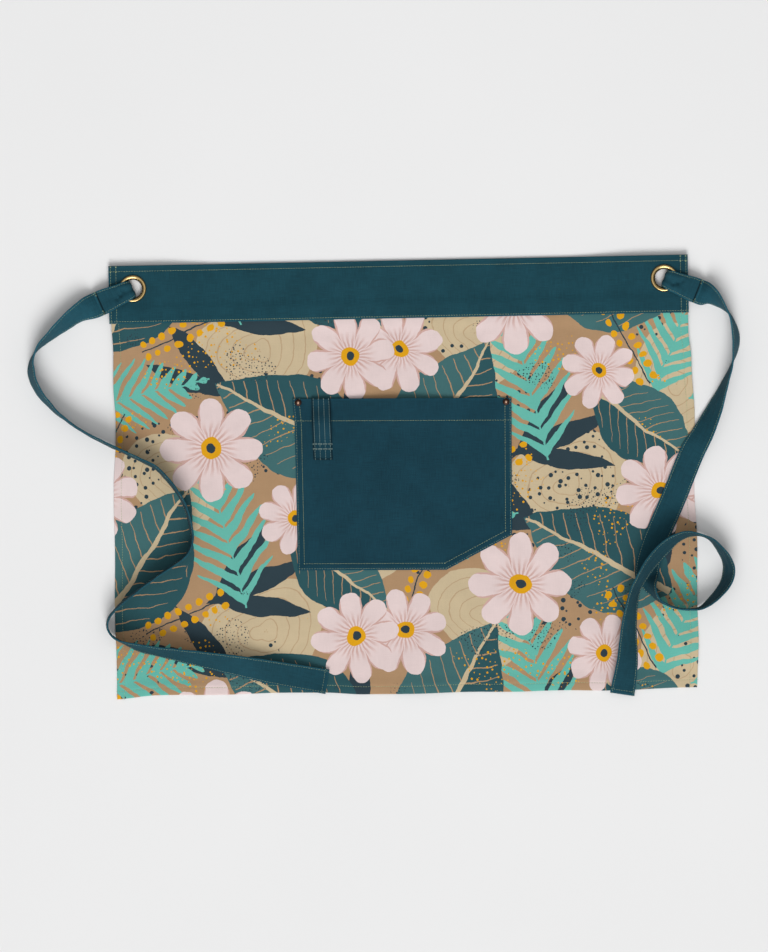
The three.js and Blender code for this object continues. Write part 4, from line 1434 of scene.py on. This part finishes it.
class Tie:
    """A flat tie through its stations: from its sewn tail, down through the eyelet and along the table."""

    def __init__(self, side, run, cloth):
        self.cloth = cloth
        self.seed = cloth.seed + 50 + side
        self.hole = np.array((side * EYELET_X, EYELET_Y, 0.0))
        out = np.array((*run[0][:2], 0.0)) - self.hole
        self.out = out / np.linalg.norm(out)
        self.centres, self.across, self.widths, self.pleats = (
            np.concatenate(parts) for parts in zip(self.tail(), self.run(run))
        )
        travel = np.gradient(self.centres, axis=0)
        normal = np.cross(travel, self.across)
        self.normals = normal / np.linalg.norm(normal, axis=1, keepdims=True)
        steps = np.linalg.norm(np.diff(self.centres, axis=0), axis=1)
        self.along = np.concatenate([[0], np.cumsum(steps)])

    def gather(self, reach):
        """The tie's width and pleating at a distance from the middle of its eyelet."""
        clear = smooth(reach, FOLD_REACH, TIE_NECK_REACH)
        opened = smooth(reach, TIE_NECK_REACH, TIE_FULL_REACH)
        width = TIE_HOLE_WIDTH + (TIE_NECK - TIE_HOLE_WIDTH) * clear + (TIE_WIDTH - TIE_NECK) * opened
        return width, PLEAT_DEPTH * (1 - opened)

    def tail(self):
        """Stations from the sewn end over the eyelet's rim and down through its hole."""
        under = TIE_FLOOR + TIE_WALL / 2
        tail = under + TIE_WALL + TIE_FLOOR + TAIL_LIFT
        over = END_LIFT + BAND_THICKNESS + 2 * GAP + EYELET_CROWN + PLEAT_DEPTH + TIE_WALL / 2
        radius = (over - under) / 2
        fold_end = FOLD_REACH + radius
        reach = lines(fold_end, TAIL_REACH, TAIL_STEP)[:0:-1]
        height = over + (tail - over) * smooth(reach, TAIL_TOP_REACH, TAIL_REACH)
        turn = np.radians(np.linspace(90, 270, 14))
        reach = np.concatenate([reach, fold_end + radius * np.cos(turn)])
        height = np.concatenate([height, under + radius + radius * np.sin(turn)])
        width, pleat = self.gather(reach)
        centres = self.hole + reach[:, None] * self.out + height[:, None] * UP
        across = np.tile(level_left(self.out), (len(reach), 1))
        return centres, across, width, pleat * (height - under) / (over - under)

    def run(self, run):
        """Stations from below the eyelet along the tie's route."""
        lifts = ((TIE_NECK_REACH, 0), (UNDER_BAND_REACH, 0.1 * TAIL_LIFT), (UNDER_REACH, TAIL_LIFT))
        under = [(*(self.hole + reach * self.out)[:2], 0, TIE_FLOOR + lift) for reach, lift in lifts]
        places, headings = through([*under, *run], TIE_STEP)
        roll = np.radians(places[:, 2])
        flat = places[:, :2] - self.hole[:2]
        width, _ = self.gather(np.linalg.norm(flat, axis=1))
        low = np.maximum(places[:, 3], TIE_FLOOR)
        height = low + 0.5 * (width * np.abs(np.sin(roll)) + TIE_WALL * np.abs(np.cos(roll)))
        centres = np.column_stack([places[:, :2], height])
        left = level_left(headings)
        across = left * np.cos(roll)[:, None] + UP * np.sin(roll)[:, None]
        return centres, across, width, np.zeros(len(width))

    def surface(self, stations, shares, face):
        """Points on one face of the tie at shares of its width, from -0.5 to 0.5."""
        shares = np.asarray(shares, float)
        edge = TIE_WIDTH * (0.5 - np.abs(shares))
        half = 0.5 * TIE_WALL * fold_round(edge, TIE_WALL) + TIE_FULLNESS * smooth(edge, 3 * MM, 9 * MM)
        half = half - groove(TIE_GROOVE, edge - TIE_EDGE_STITCH)
        along = self.along[stations][:, None]
        half = half - groove(TAIL_GROOVE, along - TAIL_STITCH) * smooth(edge, 0, 2 * MM)
        past_hem = np.minimum(along, self.along[-1] - along) - TIE_END_STITCH
        half = half + TIE_HEM_EXTRA * (1 - smooth(past_hem, 1 * MM, 2.5 * MM))
        crease = self.pleats[stations][:, None] * np.cos(4 * np.pi * shares)
        for spot, share, depth, reach in TAIL_DENTS:
            distance = np.hypot(along - spot, 0.8 * TIE_WIDTH * (shares - share))
            crease = crease + depth * ridge(distance, reach)
        crimp = ripple(along, 4 * TIE_WIDTH * shares, TIE_BUMPS, self.seed) - 0.5
        fine = ripple(along, TIE_WIDTH * shares, TIE_CRIMP, self.seed + 2) - 0.5
        free = smooth(along, *TIE_LOOSE)
        offset = crease + face * half + free * self.cloth.wrinkle * (0.6 * crimp + 0.25 * fine)
        spread = self.widths[stations][:, None] * shares
        grids = (self.centres, self.across, self.normals)
        centres, across, normals = (grid[stations][:, None] for grid in grids)
        return centres + spread[..., None] * across + offset[..., None] * normals

    def mesh(self, name):
        half = TIE_WIDTH / 2
        shares = lines(-half, half, TIE_CROSS_STEP, both_sides(half, TIE_RIM)) / TIE_WIDTH
        every = np.arange(len(self.centres))
        front, back = (self.surface(every, shares, face) for face in (1, -1))
        along, across = np.meshgrid(self.along, shares * TIE_WIDTH, indexing="ij")
        edge = np.minimum.reduce([half - np.abs(across), along, self.along[-1] - along])
        # Edge tone: wear with a painted highlight along the edges, and painted shade in the seam across the tail
        seam = ridge(along - TAIL_STITCH - SEAM_SHADE_SHIFT, TAIL_GROOVE[1])
        tone = ridge(edge, TIE_WEAR_AND_PAINTED_HIGHLIGHT) - SEAM_SHADE * seam
        return wall(name, front, back, np.stack([along, across], -1), tone)

    def edge_rows(self):
        """Stitch rows along both edges and across the free end, on both faces, and across the sewn tail."""
        every = np.arange(len(self.centres))
        edge = 0.5 - TIE_EDGE_STITCH / TIE_WIDTH
        across = np.linspace(*TAIL_ROW_SHARES, 24)
        end = np.argmin(np.abs(self.along[-1] - TIE_END_STITCH - self.along))
        start = np.argmin(np.abs(TAIL_STITCH - self.along))
        rows = [self.surface(every, [share], face)[:, 0] for share in (edge, -edge) for face in (1, -1)]
        rows += [self.surface(np.array([end]), across, face)[0] for face in (1, -1)]
        rows.append(self.surface(np.array([start]), across, -1)[0] - TAIL_THREAD_LIFT * UP)
        for ends in TAIL_TACK_SHARES:
            seam = self.surface(np.array([start]), np.linspace(*ends, 6), -1)[0]
            for shift in TACK_SHIFTS:
                rows.append(seam + shift * self.out + TAIL_THREAD_LIFT * UP)
        return rows


# Stitching


def stitch_tree():
    """Geometry nodes that lay one stitch after another along every row of edges."""
    tree = bpy.data.node_groups.new("stitch rows", "GeometryNodeTree")
    for name, kind in (
        ("Rows", "NodeSocketGeometry"),
        ("Pitch", "NodeSocketFloat"),
        ("Length", "NodeSocketFloat"),
        ("Thickness", "NodeSocketFloat"),
        ("Seed", "NodeSocketInt"),
        ("Thread", "NodeSocketMaterial"),
    ):
        tree.interface.new_socket(name, in_out="INPUT", socket_type=kind)
    tree.interface.new_socket("Stitches", in_out="OUTPUT", socket_type="NodeSocketGeometry")
    given = Value(tree).node("NodeGroupInput")
    path = given.node("GeometryNodeMeshToCurve", None, {"Mesh": given.output("Rows")})
    spots = given.node(
        "GeometryNodeResampleCurve",
        {"mode": "LENGTH"},
        {"Curve": path, "Length": given.output("Pitch")},
    )
    heading = given.node("GeometryNodeInputTangent")
    facing = given.node("FunctionNodeAlignRotationToVector", {"axis": "X"}, {"Vector": heading})
    sway = given.node(
        "FunctionNodeRandomValue",
        {"data_type": "FLOAT_VECTOR"},
        {"Min": [-turn for turn in STITCH_SWAY], "Max": STITCH_SWAY, "Seed": given.output("Seed")},
    )
    lie = given.node(
        "FunctionNodeRotateRotation",
        {"rotation_space": "LOCAL"},
        {"Rotation": facing, "Rotate By": given.node("FunctionNodeEulerToRotation", None, {0: sway})},
    )
    thick = given.output("Thickness")
    size = given.node("ShaderNodeCombineXYZ", None, {"X": given.output("Length"), "Y": thick, "Z": thick})
    stitch = given.node("GeometryNodeMeshUVSphere", None, {"Segments": 6, "Rings": 5, "Radius": 0.5})
    laid = given.node(
        "GeometryNodeInstanceOnPoints",
        None,
        {"Points": spots, "Instance": stitch, "Rotation": lie, "Scale": size},
    )
    real = given.node("GeometryNodeRealizeInstances", None, {0: laid})
    rounded = given.node("GeometryNodeSetShadeSmooth", None, {0: real})
    dyed = given.node(
        "GeometryNodeSetMaterial",
        None,
        {"Geometry": rounded, "Material": given.output("Thread")},
    )
    fill_inputs(tree, tree.nodes.new("NodeGroupOutput"), {"Stitches": dyed})
    return tree


def sew(name, rows, slot, tree, cloth, thickness, thread):
    """One mesh of stitches along rows of points."""
    points, edges = [], []
    for row in rows:
        first = len(points)
        points += row.tolist()
        edges += [(first + i, first + i + 1) for i in range(len(row) - 1)]
    guide = bpy.data.meshes.new(name)
    guide.from_pydata(points, edges, [])
    piece = bpy.data.objects.new(name, guide)
    bpy.context.scene.collection.objects.link(piece)
    modifier = piece.modifiers.new("stitches", "NODES")
    modifier.node_group = tree
    values = {
        "Pitch": cloth.pitch,
        "Length": cloth.stitch,
        "Thickness": thickness,
        "Seed": cloth.seed,
        "Thread": thread,
    }
    for socket in tree.interface.items_tree:
        if socket.in_out == "INPUT" and socket.name in values:
            modifier[socket.identifier] = values[socket.name]
    settle(piece)
    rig.ride(piece, BODY)
    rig.slot(piece, slot)


def row_between(start, end, surface, lift=THREAD_LIFT):
    """A row of points from one flat place to another, lying on a surface."""
    start, end = np.array(start), np.array(end)
    count = max(2, math.ceil(np.linalg.norm(end - start) / ROW_STEP))
    flat = start + np.linspace(0, 1, count)[:, None] * (end - start)
    return surface(flat[:, 0], flat[:, 1], lift)


def panel_rows(cloth):
    def surface(x, y, lift):
        return panel_place(x, y, cloth) + lift * UP

    side = HALF_WIDTH - HEM_STITCH
    foot = BOTTOM + HEM_STITCH
    rows = [row_between((sign * side, BOTTOM), (sign * side, BAND_BOTTOM), surface) for sign in (-1, 1)]
    return [*rows, row_between((-HALF_WIDTH, foot), (HALF_WIDTH, foot), surface)]


def band_rows(cloth):
    def front(x, y, lift):
        return np.stack([x, y, band_front(x, y, cloth) + lift], -1)

    reach = HALF_WIDTH - BAND_ROW_INSET
    top = BAND_ROW_TOP
    rows = [row_between((-reach, y), (reach, y), front) for y in (BAND_LOW_STITCH, BAND_TOP_STITCH)]
    for inset in BAND_END_STITCHES:
        for sign in (-1, 1):
            x = sign * (HALF_WIDTH - inset)
            rows.append(row_between((x, BAND_BOTTOM + BAND_ROW_INSET), (x, top), front))
            for shift in TACK_SHIFTS:
                rows.append(row_between((x + shift, top - TACK), (x + shift, top), front, TACK_LIFT))
    return rows


def pocket_rows(cloth):
    def surface(x, y, lift):
        return from_pocket(x, y, pocket_front(x, y, cloth) + lift)

    slant = math.hypot(BEVEL_RUN, BEVEL_RISE)
    rows = []
    for inset in POCKET_STITCHES:
        right = POCKET_HALF - inset
        foot = -POCKET_DEPTH + inset
        foot_turn = POCKET_HALF - BEVEL_RUN + inset * (BEVEL_RUN - slant) / BEVEL_RISE
        side_turn = -POCKET_DEPTH + BEVEL_RISE + inset * (slant - BEVEL_RISE) / BEVEL_RUN
        side = lines(foot, -POCKET_ROW_INSET, ROW_STEP)[::-1]
        left = pocket_left(side) + inset
        corners = ((left[-1], foot), (foot_turn, foot), (right, side_turn), (right, -POCKET_ROW_INSET))
        lift = THREAD_LIFT if inset == POCKET_STITCHES[1] else SUNK_LIFT
        rows.append(surface(left, side, lift))
        rows += [row_between(a, b, surface, lift) for a, b in zip(corners, corners[1:])]
    mouth = (pocket_left(-POCKET_HEM) + POCKET_ROW_INSET, -POCKET_HEM)
    rows.append(row_between(mouth, (POCKET_HALF - POCKET_ROW_INSET, -POCKET_HEM), surface))
    return rows


def loop_rows(cloth):
    def surface(across, y, lift):
        return loop_front(across, y, cloth, lift)

    side, top, foot = LOOP_ROW_INSETS
    reach = LOOP_WIDTH / 2 - side
    rows = [row_between((line, -top), (line, foot - LOOP_LENGTH), surface) for line in LOOP_LINES]
    for tack in LOOP_TACKS:
        for shift in TACK_SHIFTS:
            y = shift - tack
            rows.append(row_between((-reach, y), (reach, y), surface, LOOP_TACK_LIFT))
    return rows


# Operators


class MakeStage(bpy.types.Operator):
    """Add the pale floor, the soft lights and the camera straight above"""

    bl_idname = "apron.make_stage"
    bl_label = "Stage"

    def execute(self, context):
        scene = context.scene
        studio = scene.apron_studio
        data = bpy.data.cameras.new("camera")
        data.lens = data.sensor_width * studio.camera_height / studio.view_height
        camera = bpy.data.objects.new("camera", data)
        camera.location = (studio.camera_x, studio.camera_y, studio.camera_height)
        camera.rotation_euler = (0, 0, studio.camera_turn)
        scene.collection.objects.link(camera)
        scene.camera = camera
        key = bpy.data.lights.new("key light", "SUN")
        key.energy = studio.key
        key.angle = studio.key_spread
        self.add_light(scene, key, KEY_PLACE)
        fill = bpy.data.lights.new("fill light", "AREA")
        fill.energy = studio.fill
        fill.size = FILL_SIZE
        self.add_light(scene, fill, FILL_PLACE)
        self.add_floor(scene)
        self.add_sky(scene, studio.sky)
        scene.view_settings.view_transform = "Standard"
        return {"FINISHED"}

    def add_sky(self, scene, strength):
        """Even light from above that dims towards the horizon."""
        scene.world = bpy.data.worlds.new("even light")
        scene.world.use_nodes = True
        tree = scene.world.node_tree
        start = Value(tree)
        heading = start.node("ShaderNodeTexCoord")
        height = start.node("ShaderNodeSeparateXYZ", None, {0: heading}, output=2).eased(0.0, 0.8)
        tree.links.new(height.mixed(HORIZON, ZENITH).socket, tree.nodes["Background"].inputs["Color"])
        tree.nodes["Background"].inputs["Strength"].default_value = strength

    def add_light(self, scene, data, place):
        light = bpy.data.objects.new(data.name, data)
        light.location = place
        light.rotation_euler = (-light.location).to_track_quat("-Z", "Y").to_euler()
        light.visible_camera = False
        scene.collection.objects.link(light)

    def add_floor(self, scene):
        signs = ((-1, -1), (1, -1), (1, 1), (-1, 1))
        corners = [(x * FLOOR_REACH, y * FLOOR_REACH, FLOOR_LEVEL) for x, y in signs]
        mesh = bpy.data.meshes.new("floor")
        mesh.from_pydata(corners, [], [(0, 1, 2, 3)])
        material, start = new_finish("pale floor")
        place = start.node("ShaderNodeTexCoord", output=3)
        tone = scene.apron_colours.floor
        cloud = noise(place, (3, 3, 3))
        pale = cloud.mixed(scaled(tone, 0.98), scaled(tone, 1.02))
        set_surface(material, {"Base Color": pale, "Roughness": cloud * 0.1 + 0.8})
        mesh.materials.append(material)
        floor = bpy.data.objects.new("floor", mesh)
        scene.collection.objects.link(floor)
        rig.stage(floor)


class MakeTies(bpy.types.Operator):
    """Add the two flat ties, each threaded through its eyelet and sewn back on itself"""

    bl_idname = "apron.make_ties"
    bl_label = "Ties"

    def execute(self, context):
        cloth, colours = context.scene.apron_cloth, context.scene.apron_colours
        # The tie's tones along its length are painted light: a highlight past the seam, shade farther on
        finish = canvas("tie cotton", colours.tie, cloth.weave, along=TIE_PAINTED_LIGHT)
        for name, side, run in TIES:
            tie = Tie(side, run, cloth)
            mesh = tie.mesh(f"tie_{name}")
            mesh.materials.append(finish)
            piece = add_piece(f"tie_{name}", mesh, "tie_cotton", f"strap_{name}")
            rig.cord(
                piece,
                exit=tie.centres[0],
                length=tie.along[-1],
                diameter=TIE_WIDTH,
                far_end="bare",
                stiffness="limp",
                lay="loose",
                path=tie.centres,
            )
        return {"FINISHED"}


class MakePanel(bpy.types.Operator):
    """Add the hemmed panel with its print"""

    bl_idname = "apron.make_panel"
    bl_label = "Panel"

    def execute(self, context):
        cloth, colours = context.scene.apron_cloth, context.scene.apron_colours
        mesh = panel_mesh(cloth)
        mesh.materials.append(printed_cotton(colours, cloth.weave))
        mesh.materials.append(canvas("panel backing", colours.backing, cloth.weave))
        piece = add_piece("panel_cloth", mesh, "printed_cotton", "apron_panel")
        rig.sheet(piece, flat=(0.74, 0.49), held="laid", rests_on=["floor"])
        return {"FINISHED"}


class MakeWaistband(bpy.types.Operator):
    """Add the folded canvas waistband with its two eyelet holes"""

    bl_idname = "apron.make_waistband"
    bl_label = "Waistband"

    def execute(self, context):
        cloth, colours = context.scene.apron_cloth, context.scene.apron_colours
        mesh = band_mesh(cloth)
        mesh.materials.append(canvas("band canvas", colours.band, cloth.weave))
        piece = bpy.data.objects.new("waistband_canvas", mesh)
        context.scene.collection.objects.link(piece)
        punch_eyelet_holes(piece, (EYELET_X, EYELET_Y), EYELET_BARREL + 0.5 * GAP)
        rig.ride(piece, BODY)
        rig.replaces(piece, "waistband")
        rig.slot(piece, "band_canvas")
        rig.sheet(piece, flat=(0.72, 0.165), held="folded", rests_on=["panel_cloth"])
        return {"FINISHED"}


class MakePocket(bpy.types.Operator):
    """Add the patch pocket with its hemmed mouth and bevelled corner"""

    bl_idname = "apron.make_pocket"
    bl_label = "Pocket"

    def execute(self, context):
        cloth, colours = context.scene.apron_cloth, context.scene.apron_colours
        mesh = pocket_mesh(cloth)
        mesh.materials.append(canvas("pocket canvas", colours.pocket, cloth.weave))
        piece = add_piece("pocket_canvas", mesh, "pocket_canvas", "pocket")
        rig.sheet(piece, flat=(0.28, 0.243), held="laid", rests_on=["panel_cloth"], area=0.0655)
        return {"FINISHED"}


class MakeTowelLoop(bpy.types.Operator):
    """Add the towel loop, a stitched strip that stands off the pocket"""

    bl_idname = "apron.make_towel_loop"
    bl_label = "Towel Loop"

    def execute(self, context):
        cloth, colours = context.scene.apron_cloth, context.scene.apron_colours
        mesh = loop_mesh(cloth)
        # The loop's darker edge tone is painted shade beside its raised edges
        mesh.materials.append(canvas("loop canvas", colours.pocket, cloth.weave, edge=0.05, edge_share=0.8))
        piece = add_piece("towel_loop_strip", mesh, "pocket_canvas", "towel_loop")
        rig.sheet(piece, flat=(LOOP_WIDTH, 0.078), held="folded", rests_on=["pocket_canvas"])
        return {"FINISHED"}


class MakeEyelets(bpy.types.Operator):
    """Add the two brass eyelets"""

    bl_idname = "apron.make_eyelets"
    bl_label = "Eyelets"

    def execute(self, context):
        base = context.scene.apron_colours.brass
        # Painted shade: the brass is darker low in the eyelet's relief and full towards its crest
        low = EYELET_MID + EYELET_SEAT + 0.4 * EYELET_CROWN
        high = EYELET_MID + EYELET_SEAT + EYELET_CROWN
        finish = relief_toned_metal("eyelet brass", scaled(base, EYELET_PAINTED_SHADE)[:3], base, low, high, 0.1)
        for name, side in (("left", -1), ("right", 1)):
            place = (side * EYELET_X, EYELET_Y, EYELET_MID)
            mesh = turned(f"eyelet_brass_{name}", eyelet_profile(), EYELET_SIDES, place)
            mesh.materials.append(finish)
            add_piece(mesh.name, mesh, "eyelet_brass", f"eyelet_{name}")
        return {"FINISHED"}


class MakeRivets(bpy.types.Operator):
    """Add the two rivets at the pocket's top corners"""

    bl_idname = "apron.make_rivets"
    bl_label = "Rivets"

    def execute(self, context):
        colours = context.scene.apron_colours
        profile = [(radius * MM, height * MM) for radius, height in RIVET_PROFILE_MM]
        for name in ("left", "right"):
            low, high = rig.box(f"rivet_{name}")
            place = ((low.x + high.x) / 2, (low.y + high.y) / 2, low.z)
            # The pale nub on top of each rivet is a painted highlight
            tones = (colours.copper, colours.copper_nub_highlight)
            finish = relief_toned_metal(f"rivet copper {name}", *tones, low.z + RIVET_NUB, high.z, 0.3)
            mesh = turned(f"rivet_copper_{name}", profile, RIVET_SIDES, place)
            mesh.materials.append(finish)
            add_piece(mesh.name, mesh, "rivet_copper", f"rivet_{name}")
        return {"FINISHED"}


class SewSeams(bpy.types.Operator):
    """Sew every seam, one stitch at a time, with geometry nodes"""

    bl_idname = "apron.sew_seams"
    bl_label = "Stitching"

    def execute(self, context):
        cloth, colours = context.scene.apron_cloth, context.scene.apron_colours
        tree = stitch_tree()
        thread = thread_finish("topstitching thread", colours.thread)
        pale = thread_finish("loop thread", colours.loop_thread)
        sew("stitches_panel", panel_rows(cloth), "printed_cotton", tree, cloth, cloth.thread, thread)
        sew("stitches_waistband", band_rows(cloth), "band_canvas", tree, cloth, cloth.thread, thread)
        sew("stitches_pocket", pocket_rows(cloth), "pocket_canvas", tree, cloth, cloth.thread, thread)
        sew("stitches_towel_loop", loop_rows(cloth), "pocket_canvas", tree, cloth, cloth.thread, pale)
        for name, side, run in TIES:
            rows = Tie(side, run, cloth).edge_rows()
            sew(f"stitches_tie_{name}", rows, "tie_cotton", tree, cloth, cloth.tie_thread, thread)
        return {"FINISHED"}


class ApronPanel(bpy.types.Panel):
    """The apron's settings and its operators, in the order they run"""

    bl_idname = "VIEW3D_PT_apron"
    bl_label = "Waist Apron"
    bl_space_type = "VIEW_3D"
    bl_region_type = "UI"
    bl_category = "Apron"

    def draw(self, context):
        scene = context.scene
        for group in (scene.apron_cloth, scene.apron_colours, scene.apron_studio):
            box = self.layout.box()
            for name in group.__annotations__:
                box.prop(group, name)
        for operator in OPERATORS:
            self.layout.operator(operator.bl_idname)


OPERATORS = (
    MakeStage,
    MakeTies,
    MakePanel,
    MakeWaistband,
    MakePocket,
    MakeTowelLoop,
    MakeEyelets,
    MakeRivets,
    SewSeams,
)
GROUPS = {"apron_cloth": ApronCloth, "apron_colours": ApronColours, "apron_studio": ApronStudio}


def register():
    for kind in (*GROUPS.values(), *OPERATORS, ApronPanel):
        bpy.utils.register_class(kind)
    for name, group in GROUPS.items():
        setattr(bpy.types.Scene, name, PointerProperty(type=group))


def unregister():
    for name in GROUPS:
        delattr(bpy.types.Scene, name)
    for kind in (ApronPanel, *reversed(OPERATORS), *GROUPS.values()):
        bpy.utils.unregister_class(kind)


def main():
    register()
    for operator in OPERATORS:
        group, name = operator.bl_idname.split(".")
        getattr(getattr(bpy.ops, group), name)()
    boxes = {"cad": CAD_BOX, "visual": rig.bounds()}
    with open(SIZE_FILE, "w") as file:
        json.dump({name: [list(corner) for corner in box] for name, box in boxes.items()}, file)


if __name__ == "__main__":
    main()
